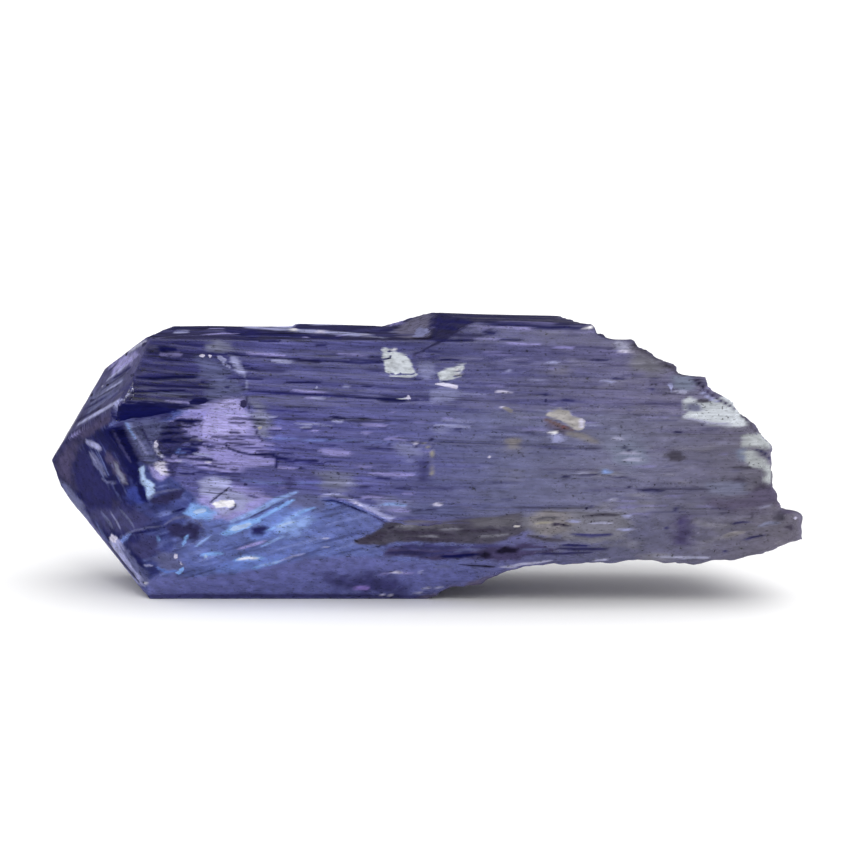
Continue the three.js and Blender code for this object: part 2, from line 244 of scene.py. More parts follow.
INNER_STREAKS = {
    "main": (-62, 2.4, 0.22),
    "cheek": (-58, 2.0, 0.22),
    "jowl": (24, 1.8, 0.25),
    "lower front": (17, 2.6, 0.24),
    "back dome": (50, 2.0, 0.3),
    "back low": (30, 2.0, 0.3),
}

# Marks on the front, later ones over earlier ones: kind, tint, half the width of a line or the
# softness of a patch's edge in mm, then one or more courses or outlines. Those are places on the
# sheet as x,v in hundredths of a mm.
FRONT_MARKS = [
    # the sloping facet on the left of the top: its lilac patch is a painted sheen, and the pale
    # lines along its upper rim and along its lower edge are painted highlights
    ("patch", "lilac", 0.2, (-1341,994, -1299,1028, -1256,1053, -1235,1041, -1260,1002, -1303,972,
     -1337,959)),
    ("patch", "slate", 0.2, (-1422,874, -1371,917, -1311,951, -1286,934, -1337,883, -1397,840,
     -1439,823)),
    ("line", "haze", 0.03, (-1362,930, -1320,964, -1269,1002), (-1405,857, -1354,891, -1294,930)),
    ("line", "ink", 0.03, (-1388,887, -1337,925, -1277,964), (-1431,840, -1371,878, -1303,914)),
    ("line", "navy", 0.035, (-1456,810, -1388,849, -1311,887)),
    ("line", "ink", 0.05, (-1488,759, -1439,791, -1381,819)),
    ("line", "navy", 0.05, (-1333,941, -1294,965, -1255,991)),
    ("line", "ink", 0.03, (-1354,970, -1337,987, -1320,1002)),
    ("line", "dusk", 0.06, (-1345,855, -1307,883, -1247,921)),
    ("line", "slate", 0.06, (-1448,793, -1380,844, -1311,891)),
    ("line", "mist", 0.06, (-1265,1052, -1226,1079, -1188,1100)),
    ("line", "haze", 0.06, (-1485,744, -1403,790, -1340,826, -1283,858, -1252,886)),
    ("line", "lilac", 0.04, (-1530,682, -1474,715, -1403,760, -1361,788, -1320,814, -1283,839)),
    ("line", "black", 0.03, (-1524,696, -1464,735, -1409,767, -1354,800)),
    ("patch", "mist", 0.02, (-1390,904, -1380,915, -1367,913, -1373,904, -1384,900)),
    ("patch", "black", 0.02, (-1365,917, -1353,919, -1354,908, -1366,906), (-1407,891, -1398,895,
     -1396,886, -1405,883), (-1433,874, -1423,878, -1420,867, -1431,863), (-1281,1051, -1270,1052,
     -1269,1041, -1279,1038)),
    ("patch", "ink", 0.02, (-1433,849, -1416,855, -1414,847, -1431,842), (-1207,1085, -1183,1096,
     -1188,1083, -1205,1075), (-1256,955, -1241,964, -1243,949, -1254,942)),
    # the dark wedge under the flake's roof: painted shade on the wall under the overhang
    ("patch", "night", 0.02, (-1360,791, -1337,808, -1307,826, -1283,838, -1226,842, -1129,837,
     -1010,829, -979,827, -1021,813, -1068,797, -1119,780, -1163,770, -1234,761, -1286,749, -1311,759,
     -1333,776), (-1013,840, -983,858, -940,861, -887,860, -928,840, -962,827, -1004,829)),
    # the glassy front of the termination; its ice, frost and pale blue marks are painted flashes of
    # light inside the glass
    ("line", "dusk", 0.15, (-1328,740, -1260,751, -1175,761, -1081,782)),
    ("patch", "dusk", 0.3, (-1456,388, -1388,401, -1303,388, -1217,380, -1166,345, -1209,286, -1294,277,
     -1362,294, -1414,337)),
    ("line", "slate", 0.06, (-1388,371, -1362,337, -1337,299)),
    ("line", "slate", 0.05, (-1303,380, -1269,341, -1243,303)),
    ("line", "grey lilac", 0.03, (-1345,371, -1320,333, -1303,299)),
    ("line", "plum", 0.2, (-1507,674, -1456,704, -1397,742, -1345,772)),
    ("patch", "ink", 0.12, (-1533,678, -1473,695, -1456,678, -1482,627, -1503,576, -1499,516, -1473,456,
     -1533,448, -1574,495, -1597,559, -1571,635)),
    ("patch", "plum", 0.2, (-1542,644, -1490,670, -1499,610, -1525,550, -1516,499, -1559,516,
     -1576,576)),
    ("patch", "slate", 0.1, (-1567,499, -1525,482, -1490,439, -1456,388, -1439,337, -1469,354,
     -1516,409, -1559,469)),
    ("patch", "night", 0.1, (-1412,719, -1354,736, -1284,734, -1255,665, -1216,577, -1212,509,
     -1245,489, -1284,568, -1324,626, -1363,646, -1397,690)),
    ("patch", "navy", 0.1, (-1482,627, -1456,635, -1439,601, -1414,550, -1384,512, -1354,482, -1320,439,
     -1294,397, -1345,384, -1397,388, -1439,388, -1473,439, -1495,507, -1495,576)),
    ("patch", "night", 0.06, (-1371,533, -1337,529, -1320,507, -1345,499, -1371,512), (-1328,490,
     -1299,495, -1286,465, -1299,439, -1324,456)),
    ("patch", "ink", 0.06, (-1341,422, -1307,426, -1299,397, -1337,388)),
    ("patch", "royal", 0.1, (-1277,469, -1235,482, -1196,478, -1188,439, -1205,405, -1256,409,
     -1281,435)),
    ("patch", "night", 0.06, (-1226,495, -1200,482, -1188,443, -1188,414, -1213,422, -1230,456)),
    ("line", "dusk", 0.12, (-1286,738, -1243,670, -1205,606, -1166,550)),
    ("patch", "slate", 0.07, (-1439,631, -1418,631, -1392,593, -1367,550, -1358,520, -1384,533,
     -1414,576, -1435,610)),
    ("patch", "plum", 0.09, (-1371,631, -1341,623, -1307,571, -1269,507, -1286,490, -1328,537,
     -1358,593)),
    ("patch", "grey", 0.06, (-1333,588, -1316,576, -1286,520, -1273,495, -1294,503, -1320,550)),
    ("line", "grey lilac", 0.03, (-1435,627, -1422,606, -1405,580)),
    ("line", "slate", 0.03, (-1392,567, -1380,546, -1367,525)),
    ("line", "grey lilac", 0.035, (-1277,738, -1235,667, -1192,597, -1171,567)),
    ("line", "dusk", 0.06, (-1333,721, -1299,652, -1256,584)),
    ("patch", "grey lilac", 0.06, (-1452,682, -1431,678, -1397,661, -1375,640, -1397,635, -1426,652,
     -1448,665)),
    ("patch", "haze", 0.06, (-1422,665, -1405,664, -1388,648, -1401,640, -1418,650)),
    ("line", "slate", 0.04, (-1384,516, -1358,496, -1337,495, -1316,499)),
    ("patch", "slate", 0.14, (-1286,755, -1217,759, -1141,763, -1098,746, -1128,712, -1154,674,
     -1158,627, -1141,584, -1175,567, -1209,610, -1243,670)),
    ("line", "grey lilac", 0.06, (-1260,746, -1226,687, -1183,610)),
    ("line", "dusk", 0.05, (-1217,746, -1192,695, -1166,644)),
    ("line", "pale blue", 0.05, (-1277,751, -1256,721, -1235,678)),
    ("patch", "lilac", 0.1, (-1175,559, -1132,588, -1098,576, -1090,533, -1115,507, -1149,507)),
    ("patch", "ice", 0.06, (-1216,555, -1201,567, -1189,513, -1159,490, -1154,460, -1165,436, -1183,433,
     -1195,478, -1216,513)),
    ("patch", "frost", 0.06, (-1158,576, -1132,587, -1111,588, -1102,563, -1098,533, -1124,529,
     -1149,550)),
    ("line", "slate", 0.045, (-1183,433, -1142,454, -1098,463, -1043,469)),
    ("patch", "ink", 0.1, (-1166,431, -1124,448, -1064,459, -1030,465, -1047,431, -1098,405,
     -1158,401)),
    # the round glassy hollow low on the left; its blue glow patch is painted light shining through the
    # stone, and its sky marks are painted highlights
    ("patch", "blue glow", 0.08, (-1307,247, -1294,269, -1260,281, -1269,260, -1294,239)),
    ("patch", "dusk", 0.2, (-1256,243, -1209,260, -1149,269, -1132,247, -1141,205, -1171,171, -1217,179,
     -1247,209)),
    ("patch", "ink", 0.22, (-1098,307, -1060,324, -1004,330, -962,311, -945,281, -983,258, -1047,256,
     -1090,269)),
    ("line", "slate", 0.035, (-1307,264, -1245,292, -1183,305, -1123,312)),
    ("line", "night", 0.04, (-1255,279, -1200,287, -1147,293)),
    ("line", "slate", 0.05, (-1117,316, -1069,345, -1020,354, -971,333, -940,299)),
    ("line", "night", 0.05, (-1081,371, -1055,377, -1023,388)),
    ("line", "sky", 0.035, (-1141,274, -1138,244)),
    ("line", "sky", 0.05, (-1034,230, -1022,260, -1017,274)),
    ("line", "pale blue", 0.06, (-980,224, -953,247, -919,269)),
    ("patch", "slate", 0.15, (-1158,175, -1115,205, -1068,192, -1030,149, -1064,111, -1132,124)),
    ("patch", "frost", 0.02, (-1072,196, -1060,192, -1057,171, -1070,175), (-1053,166, -1038,158,
     -1043,145)),
    ("patch", "sky", 0.03, (-1068,115, -1034,135, -1028,123, -1052,102)),
    ("line", "blue", 0.04, (-1147,136, -1105,116, -1058,122)),
    ("line", "haze", 0.04, (-1201,145, -1165,142)),
    ("line", "sky", 0.06, (-962,189, -915,194, -864,194)),
    # the narrow facet at the foot of the termination, with a painted highlight at its lower end
    ("patch", "haze", 0.06, (-1357,244, -1339,274, -1315,256, -1285,214, -1261,172, -1213,107, -1154,65,
     -1201,53, -1255,89, -1309,172)),
    ("patch", "slate", 0.14, (-1294,230, -1256,188, -1213,128, -1162,72, -1192,55, -1243,111,
     -1286,175)),
    ("line", "haze", 0.06, (-1337,252, -1299,196, -1256,136, -1209,81)),
    ("line", "slate", 0.04, (-1311,235, -1277,179, -1235,119, -1192,77)),
    ("line", "mist", 0.045, (-1345,230, -1311,179, -1273,128)),
    ("patch", "frost", 0.03, (-1355,260, -1337,275, -1318,260, -1328,239, -1348,244)),
    ("line", "ink", 0.045, (-1361,243, -1316,183, -1273,128, -1225,72)),
    ("line", "glint", 0.04, (-1201,68, -1169,65)),
    # the lilac fracture; its glint and frost flecks are painted highlights
    ("patch", "lilac", 0.15, (-940,827, -868,857, -778,844, -748,785, -714,721, -680,644, -638,584,
     -697,567, -791,550, -876,533, -962,567, -1038,593, -970,635, -962,678, -1038,721, -1060,772,
     -1004,806)),
    ("patch", "pale lilac", 0.12, (-910,814, -851,857, -800,840, -765,797, -740,729, -791,695, -868,678,
     -945,687, -962,746)),
    ("line", "night", 0.09, (-1068,760, -1009,758, -949,760)),
    ("line", "night", 0.045, (-1132,731, -1055,733, -974,738)),
    ("line", "night", 0.07, (-1132,705, -1072,711, -1013,716)),
    ("line", "night", 0.11, (-1132,673, -1072,676, -1006,681)),
    ("line", "night", 0.06, (-1006,664, -979,658, -949,662)),
    ("line", "night", 0.17, (-1111,621, -1047,629, -966,637)),
    ("patch", "blue", 0.06, (-1072,635, -1047,642, -1030,623, -1060,612)),
    ("line", "night", 0.06, (-1009,600, -962,598, -906,597)),
    ("line", "ink", 0.04, (-996,572, -945,571, -889,566), (-902,809, -872,810), (-842,751, -791,749,
     -761,755)),
    ("line", "ink", 0.045, (-838,712, -791,710)),
    ("line", "ink", 0.035, (-868,689, -808,687, -765,695)),
    ("line", "dusk", 0.045, (-800,785, -778,787)),
    ("line", "glint", 0.05, (-1002,680, -974,679, -947,677)),
    ("line", "frost", 0.04, (-987,616, -957,619)),
    ("line", "glint", 0.04, (-1064,592, -1038,595)),
    ("line", "frost", 0.035, (-936,583, -915,583)),
    ("line", "lilac", 0.06, (-1004,704, -953,702)),
    ("line", "mist", 0.07, (-1147,678, -1152,645, -1135,621, -1117,603)),
    ("patch", "frost", 0.02, (-1157,676, -1143,680, -1139,652, -1152,641)),
    ("line", "lilac", 0.05, (-1117,597, -1070,589, -1010,606, -986,612)),
    ("patch", "dusk", 0.1, (-838,520, -808,516, -774,499, -757,482, -791,482, -825,499)),
    ("patch", "ink", 0.04, (-776,496, -759,494, -761,478, -776,482)),
    ("patch", "dusk", 0.2, (-608,516, -569,520, -552,490, -574,465, -603,478)),
    ("line", "night", 0.055, (-864,672, -836,642, -800,628, -753,618, -716,613)),
    ("line", "night", 0.08, (-731,616, -652,616, -624,601, -578,599)),
    ("line", "navy", 0.05, (-578,599, -513,590, -454,589)),
    ("line", "navy", 0.06, (-638,601, -635,580, -638,557)),
    # the curved rib beside the flake; the ink lines along it are painted shade along its side
    ("patch", "grey", 0.25, (-748,849, -697,840, -663,789, -663,721, -689,687, -723,721)),
    ("line", "grey lilac", 0.06, (-851,1045, -821,1032, -800,1011, -784,985)),
    ("line", "grey lilac", 0.045, (-784,985, -767,933, -757,885), (-693,793, -680,772, -667,740)),
    ("line", "ink", 0.05, (-765,866, -753,814, -740,780)),
    ("line", "ink", 0.04, (-731,738, -714,699, -693,665)),
    ("patch", "slate", 0.2, (-936,891, -885,942, -800,934, -774,883, -851,861, -928,849)),
    ("patch", "ink", 0.04, (-791,840, -770,849, -757,827, -774,806, -791,823)),
    ("patch", "cream", 0.03, (-723,733, -697,738, -693,721, -714,716)),
    ("patch", "frost", 0.02, (-966,1038, -949,1047, -936,1041, -945,1030), (-928,1043, -913,1045,
     -906,1032, -921,1028)),
    ("patch", "haze", 0.05, (-893,1041, -868,1036, -842,1015, -868,1011, -889,1023)),
    # the pale window; its glint patch is a painted highlight, and its sky and ice patches are painted
    # flashes of light
    ("patch", "lilac", 0.2, (-962,426, -932,473, -855,490, -774,482, -697,465, -663,434, -706,388,
     -774,358, -827,337, -906,354, -953,384)),
    ("patch", "haze", 0.15, (-910,448, -851,469, -783,456, -740,426, -774,388, -842,371, -910,388)),
    ("patch", "glint", 0.02, (-917,402, -893,416, -872,425, -846,419, -818,424, -811,402, -832,386,
     -859,393, -889,391)),
    ("patch", "haze", 0.15, (-966,495, -902,533, -838,516, -825,473, -898,443, -957,452)),
    ("line", "ink", 0.04, (-923,408, -881,443, -836,478)),
    ("line", "dusk", 0.045, (-764,445, -740,441, -710,432)),
    ("line", "black", 0.04, (-838,381, -817,386, -806,409)),
    ("patch", "sky", 0.12, (-1034,367, -991,401, -936,401, -893,371, -928,345, -987,341)),
    ("patch", "ice", 0.05, (-996,375, -966,388, -932,380, -949,362, -983,360)),
    # the blue glass: its blue glow is painted light shining through the stone, its sky, ice, pale
    # blue and glint marks are painted highlights, and the dusk line under its pale sheet is painted
    # shade
    ("patch", "blue glow", 0.3, (-672,371, -535,422, -458,397, -501,337, -603,277, -697,252, -748,269)),
    ("patch", "slate", 0.25, (-586,448, -518,456, -441,439, -433,388, -510,371, -578,388)),
    ("patch", "navy", 0.12, (-748,307, -714,316, -676,303, -697,273, -740,277)),
    ("patch", "sky", 0.08, (-868,281, -834,316, -791,330, -748,341, -697,352, -714,324, -765,303,
     -808,287, -851,273)),
    ("patch", "ice", 0.03, (-842,294, -821,310, -787,320, -753,328, -740,320, -774,304, -808,294)),
    ("line", "pale blue", 0.1, (-832,330, -762,358, -693,390, -633,426, -552,456)),
    ("line", "sky", 0.06, (-740,333, -680,360, -620,392, -561,426), (-672,294, -603,328, -535,371,
     -475,392)),
    ("line", "dusk", 0.04, (-760,342, -710,366, -655,393)),
    ("patch", "pale blue", 0.2, (-646,311, -603,337, -535,350, -484,341, -510,303, -578,281, -629,281)),
    ("line", "ice", 0.05, (-629,309, -595,322, -561,330)),
    ("line", "pale blue", 0.05, (-697,228, -655,247, -599,272)),
    ("line", "lilac", 0.06, (-800,213, -740,232, -680,250)),
    ("line", "pale blue", 0.04, (-603,328, -561,362, -510,392)),
    ("line", "sky", 0.11, (-817,165, -761,173, -689,172)),
    ("line", "glint", 0.045, (-800,171, -761,177, -714,175)),
    ("line", "sky", 0.08, (-740,132, -680,149, -616,164)),
    ("line", "ice", 0.035, (-714,141, -680,150, -623,162)),
    ("line", "haze", 0.035, (-623,162, -564,185, -518,194)),
    ("patch", "ice", 0.02, (-946,190, -934,196, -930,179, -943,175)),
    ("patch", "blue glow", 0.15, (-851,158, -748,166, -603,175, -697,141, -800,119, -898,115)),
    ("line", "mist", 0.03, (-441,260, -416,258), (-437,223, -420,222)),
    ("patch", "deep violet", 0.12, (-1175,90, -983,98, -800,111, -697,132, -608,154, -493,179, -279,183,
     -109,166, 62,141, 232,119, 190,38, 11,-13, -1217,-13, -1192,47)),
    # a painted shade along the foot, where it meets the floor
    ("line", "dusk", 0.14, (-1209,10, -876,7, -450,7, 11,5)),
    # the ledge and the brown lens; the pale lines and frost on the ledge's lip are painted
    # highlights, and the dark lines just under it are painted shadow
    ("patch", "grey lilac", 0.2, (-220,422, -143,435, -58,414, 19,388, -58,362, -134,358, -203,384)),
    ("patch", "slate", 0.15, (-75,397, 19,414, 113,397, 173,388, 164,367, 62,358, -58,362)),
    ("line", "haze", 0.06, (-450,442, -382,447, -322,426)),
    ("line", "haze", 0.085, (-330,429, -267,400, -220,377, -164,343)),
    ("line", "frost", 0.035, (-313,420, -292,409, -275,397)),
    ("line", "night", 0.05, (-441,421, -394,419, -335,400, -265,373, -241,362)),
    ("line", "dusk", 0.05, (-241,362, -207,344, -168,324)),
    ("patch", "haze", 0.06, (-211,371, -194,373, -130,347, -156,333, -177,345)),
    ("line", "pale blue", 0.05, (-194,403, -143,407, -92,401)),
    ("line", "lilac", 0.05, (-168,381, -117,380, -66,375), (-279,432, -228,439, -173,431), (-196,104,
     -177,108, -160,111)),
    ("line", "frost", 0.05, (28,405, 45,407, 62,403)),
    ("line", "haze", 0.05, (-249,390, -224,387, -198,385)),
    ("line", "ink", 0.04, (-43,379, -28,380, -19,382)),
    ("line", "ink", 0.03, (-6,383, 19,384, 49,381)),
    ("patch", "umber", 0.07, (-307,245, -265,267, -219,286, -177,322, -154,332, -34,339, 104,337,
     275,350, 405,370, 448,320, 403,274, 335,248, 275,235, 151,235, 40,239, -52,244, -149,235, -177,230,
     -228,230, -256,235)),
    ("patch", "olive", 0.12, (-109,324, -23,333, 62,330, 104,316, 19,303, -87,300), (190,333, 292,345,
     377,354, 403,328, 318,307, 224,307)),
    ("line", "dark brown", 0.09, (-143,287, -66,281, 45,279, 130,270)),
    ("line", "dark brown", 0.07, (147,292, 232,290, 318,294)),
    ("line", "dark brown", 0.08, (-92,256, 19,253, 156,247)),
    ("line", "crust", 0.05, (-134,309, -92,312, -41,311), (62,296, 113,299, 156,297), (-32,266, 19,267,
     53,264)),
    ("line", "crust", 0.06, (224,267, 284,269, 352,277)),
    ("patch", "dark brown", 0.06, (-305,247, -262,264, -203,286, -160,286, -194,252, -254,237)),
    # a painted shade along the lower edge of the lens
    ("patch", "dusk", 0.1, (-177,226, -53,239, 151,230, 318,230, 318,213, 62,217, -143,213)),
    ("line", "black", 0.04, (-164,300, -147,307, -130,311)),
    ("line", "black", 0.035, (-224,226, -207,223, -186,226)),
    ("patch", "crust", 0.25, (394,354, 510,380, 620,380, 744,384, 864,375, 881,311, 838,252, 727,243,
     595,247, 510,260, 433,286)),
    ("patch", "tan", 0.2, (441,358, 522,375, 591,362, 625,320, 574,277, 505,273, 454,303)),
    ("line", "umber", 0.08, (429,269, 510,253, 599,247)),
    ("line", "umber", 0.06, (676,354, 744,360, 812,358)),
    ("line", "dusk", 0.07, (625,277, 701,269, 795,275)),
    ("line", "olive", 0.06, (471,341, 522,348, 574,344)),
    ("line", "straw", 0.045, (463,322, 497,327, 531,326)),
    ("line", "mist", 0.045, (701,324, 744,327, 787,324)),
    ("line", "dark brown", 0.06, (539,320, 574,317, 608,310)),
    ("line", "black", 0.04, (544,314, 557,313)),
    ("line", "black", 0.045, (580,314, 592,312)),
    ("line", "haze", 0.045, (602,333, 649,331)),
    ("line", "haze", 0.05, (815,299, 846,296, 880,299)),
    ("line", "haze", 0.06, (838,354, 872,355)),
    ("patch", "cream", 0.04, (369,311, 382,322, 403,316, 394,305)),
    # the plum band below the lens, with its dark lines and spots, is painted shade in the groove there
    ("patch", "plum", 0.09, (-182,188, -168,209, -154,220, 4,220, 104,213, 248,217, 405,237, 510,226,
     574,213, 522,200, 446,192, 390,164, 306,162, 243,177, 104,170, 31,169, -43,177, -149,182)),
    ("line", "ink", 0.09, (-168,194, -66,198, 45,192)),
    ("line", "night", 0.08, (62,181, 147,182, 232,192)),
    ("line", "dusk", 0.07, (-109,216, -6,217, 113,213)),
    ("line", "dusk", 0.06, (-41,177, 62,196, 190,202)),
    ("line", "ink", 0.07, (557,216, 659,212, 770,213)),
    ("line", "ink", 0.05, (471,194, 574,194, 710,198)),
    ("line", "navy", 0.05, (574,230, 642,229, 693,226)),
    ("line", "slate", 0.05, (403,211, 463,213, 522,212), (122,200, 181,211, 232,209)),
    ("patch", "black", 0.06, (292,200, 318,222, 369,226, 394,217, 390,203, 339,196, 309,194), (232,205,
     267,200, 284,183, 249,177, 232,183)),
    ("line", "black", 0.045, (142,148, 197,142, 292,136)),
    ("line", "mist", 0.05, (316,138, 362,138, 403,149, 464,154, 528,164), (974,183, 1080,179,
     1212,177)),
    ("line", "mist", 0.045, (713,164, 744,167, 780,171)),
    # a painted shade on the foot where it runs in under the undercut
    ("patch", "brown dusk", 0.12, (-23,13, 62,38, 173,68, 292,102, 318,90, 190,47, 62,4, -15,-9)),
    ("line", "frost", 0.05, (-145,113, -126,115, -106,113)),
    ("line", "lilac", 0.05, (-100,113, -58,111)),
    ("line", "haze", 0.05, (-34,109, -23,117, -12,124)),
    ("line", "slate", 0.07, (36,136, 70,138, 104,136)),
    ("patch", "dusk", 0.3, (-450,107, -339,98, -245,107, -143,90, -66,55, -109,13, -279,38, -407,55)),
    # painted sparkles of light along the bottom
    ("line", "violet spark", 0.08, (-305,45, -279,49, -245,45)),
    ("line", "frost", 0.045, (-191,16, -181,18), (-162,12, -143,14)),
    ("line", "mist", 0.045, (-45,26, -19,28), (-13,45, 23,49)),
    ("line", "mist", 0.04, (43,50, 74,52)),
    # the top edge, the lip and the ramp; the pale lines and glint along the top edge are painted
    # highlights where the light catches it
    ("line", "ink", 0.12, (-1098,1160, -1021,1156, -936,1151)),
    ("line", "haze", 0.06, (-777,1160, -714,1156, -652,1151, -583,1146), (-583,1146, -450,1138,
     -365,1134, -237,1122, -171,1111)),
    ("line", "glint", 0.05, (-580,1147, -545,1147)),
    ("line", "frost", 0.05, (-465,1139, -426,1137)),
    ("line", "mist", 0.05, (-275,1126, -230,1120)),
    ("line", "ink", 0.09, (-592,1168, -450,1159, -301,1152, -143,1141)),
    ("patch", "ramp grey", 0.06, (-134,1139, -92,1173, -49,1198, -6,1224, 36,1211, 15,1164, 19,1117,
     -58,1109, -117,1117)),
    ("patch", "grey lilac", 0.03, (-53,1122, -41,1154, -6,1162, 18,1147, 6,1124)),
    ("line", "black", 0.045, (-66,1110, -15,1111, 32,1116)),
    ("line", "navy", 0.09, (23,1194, 96,1186, 190,1181), (19,1168, 79,1160, 139,1154)),
    ("line", "ink", 0.06, (63,1130, 113,1128, 190,1124, 271,1123)),
    ("line", "navy", 0.08, (38,1104, 104,1104, 207,1102)),
    ("line", "navy", 0.1, (232,1174, 360,1170, 510,1162, 693,1156)),
    ("line", "navy", 0.07, (245,1140, 275,1134, 309,1128)),
    ("line", "navy", 0.06, (318,1106, 360,1105, 403,1103)),
    ("line", "lilac", 0.06, (309,1158, 369,1156, 446,1151), (335,1092, 403,1087, 488,1083)),
    ("line", "lilac", 0.05, (539,1073, 582,1071, 633,1070)),
    # long dark growth lines on the upper front
    ("line", "navy", 0.13, (-859,1148, -791,1135, -697,1131)),
    ("line", "navy", 0.09, (-714,1132, -620,1128, -450,1118, -365,1109)),
    ("line", "night", 0.05, (-939,1046, -879,1045, -805,1041, -750,1036)),
    ("line", "navy", 0.045, (-750,1036, -620,1027, -450,1017, -322,1009)),
    ("line", "navy", 0.055, (-373,1012, -279,1005, -181,1009)),
    ("line", "navy", 0.05, (-851,941, -791,940, -690,936), (-602,922, -535,924, -441,922), (-773,1117,
     -744,1117, -713,1117), (-209,1012, -181,1010), (-957,925, -929,918)),
    ("line", "navy", 0.06, (-750,886, -647,880, -450,870, -311,862, -203,855)),
    ("line", "night", 0.13, (-211,855, -151,851, -79,850)),
    ("line", "navy", 0.06, (-66,847, -23,853, 28,855), (-708,1098, -663,1098, -620,1097)),
    ("line", "dusk", 0.08, (-726,974, -663,971, -595,967)),
    ("line", "navy", 0.045, (-270,908, -232,906), (-58,936, -20,936), (54,1019, 96,1021, 147,1017),
     (-856,901, -832,901)),
    ("line", "haze", 0.07, (-655,1015, -612,1011, -574,1008)),
    ("patch", "frost", 0.02, (-81,867, -70,871, -60,861, -68,851, -79,855)),
    ("patch", "haze", 0.05, (-480,910, -458,910, -454,896, -475,893)),
    ("patch", "night", 0.08, (-1145,1079, -1107,1083, -1064,1072, -1060,1058, -1124,1053)),
    ("patch", "grey", 0.15, (-940,1087, -885,1096, -834,1083, -817,1058, -876,1053, -928,1062)),
    ("line", "lilac", 0.06, (-1132,1041, -1090,1042, -1038,1041)),
    ("line", "night", 0.09, (-1230,942, -1154,940, -1068,945, -966,947)),
    ("line", "navy", 0.06, (-1222,915, -1141,908, -1047,906, -902,896)),
    ("line", "night", 0.045, (-1260,883, -1132,887, -1021,889)),
    ("line", "slate", 0.05, (-1175,876, -1081,878, -987,874)),
    ("patch", "slate", 0.25, (-970,1028, -910,1019, -851,1002, -825,959, -893,925, -962,959)),
    ("line", "haze", 0.045, (-868,1015, -851,996, -829,985)),
    ("patch", "haze", 0.12, (-829,1028, -804,1019, -783,985, -771,955, -795,959, -821,994)),
    # dashes on the middle of the front
    ("line", "navy", 0.04, (-404,777, -373,774, -343,767)),
    ("line", "haze", 0.045, (-399,760, -352,757)),
    ("line", "navy", 0.035, (-527,726, -484,728)),
    ("line", "haze", 0.045, (-535,733, -488,736), (514,1006, 539,1009, 569,1006)),
    ("line", "haze", 0.05, (35,742, 92,740, 143,736, 197,731), (335,972, 365,971)),
    ("line", "navy", 0.04, (26,734, 77,730), (114,725, 160,725)),
    ("line", "lilac", 0.06, (-275,744, -220,742, -168,738), (-271,710, -237,709)),
    ("patch", "grey lilac", 0.2, (-134,661, -92,674, -32,652, -19,610, -75,593, -122,614)),
    ("patch", "grey lilac", 0.15, (28,729, 70,729, 92,704, 62,695, 32,708)),
    ("patch", "slate", 0.2, (36,665, 96,674, 104,644, 62,627, 41,640)),
    ("line", "frost", 0.045, (-57,665, -37,665), (292,885, 326,884, 363,881)),
    ("line", "ink", 0.05, (-164,658, -151,664)),
    ("line", "ink", 0.04, (-150,676, -139,674), (1053,713, 1095,710)),
    ("line", "ink", 0.045, (-68,615, -58,614), (-47,652, -38,651), (-124,583, -113,582)),
    ("line", "navy", 0.05, (-505,592, -458,590), (-219,518, -186,516, -153,513), (574,849, 603,848,
     636,846), (-404,777, -343,768)),
    ("line", "navy", 0.04, (-433,588, -360,588), (-552,561, -510,559), (952,981, 980,983), (957,942,
     988,937), (942,898, 974,893)),
    ("line", "lilac", 0.12, (-450,634, -390,627, -322,623)),
    ("line", "lilac", 0.06, (-245,533, -203,536, -143,530, -53,528)),
    ("patch", "grey", 0.3, (-458,533, -390,546, -322,533, -305,490, -365,465, -441,473), (731,695,
     795,716, 872,708, 923,670, 940,610, 915,559, 838,554, 795,593, 761,644)),
    ("line", "haze", 0.06, (-326,503, -319,486)),
    ("line", "lilac", 0.05, (-177,684, -126,687, -92,678)),
    ("line", "straw", 0.04, (-11,667, 8,651, 22,631, 30,606, 32,580, 29,550, 19,520)),
    # a painted shade beside the seam
    ("patch", "dusk", 0.25, (-28,584, -6,597, 6,571, 6,529, -11,503, -32,537)),
    ("line", "black", 0.05, (11,591, 14,580)),
    ("line", "black", 0.055, (-1,552, 2,540)),
    ("line", "ink", 0.06, (22,676, 36,692)),
    ("line", "slate", 0.06, (28,501, 66,501, 100,499)),
    ("line", "navy", 0.045, (699,1017, 736,1016, 778,1017), (783,940, 812,938, 847,936)),
    ("line", "haze", 0.045, (745,930, 774,928, 801,922)),
    ("patch", "black", 0.02, (568,910, 580,913, 584,904, 572,900)),
    ("line", "navy", 0.06, (491,872, 505,871, 520,870)),
    ("patch", "ink", 0.03, (497,853, 510,855, 514,840, 499,836)),
    ("patch", "tan", 0.05, (320,819, 352,814, 388,796, 352,795, 330,806)),
    ("line", "frost", 0.035, (319,819, 339,817)),
    ("patch", "tan", 0.15, (339,670, 369,684, 403,678, 394,648, 352,644)),
    ("patch", "frost", 0.03, (261,612, 272,616, 279,606, 268,600)),
    ("patch", "teal grey", 0.25, (795,635, 864,652, 923,627, 936,584, 872,567, 804,593)),
    ("line", "mist", 0.06, (821,623, 864,625, 906,618), (838,594, 881,597, 923,591), (787,684, 812,687,
     838,683)),
    ("line", "ink", 0.05, (838,646, 853,645), (857,635, 870,633)),
    ("line", "black", 0.045, (-48,1113, 31,1115)),
    ("patch", "olive", 0.06, (889,1092, 923,1106, 957,1094, 970,1076, 932,1070, 898,1077)),
    ("patch", "teal grey", 0.12, (1047,951, 1102,959, 1136,942, 1136,891, 1085,887, 1051,904)),
    ("patch", "teal grey", 0.1, (1316,640, 1358,648, 1371,614, 1354,588, 1324,601)),
    ("patch", "dark brown", 0.15, (1392,473, 1426,495, 1469,482, 1490,456, 1490,409, 1426,405,
     1388,431)),
    ("patch", "rosy", 0.12, (1499,409, 1529,414, 1563,388, 1554,371, 1512,384)),
    ("patch", "dark brown", 0.08, (1034,994, 1068,994, 1102,968, 1094,942, 1060,959)),
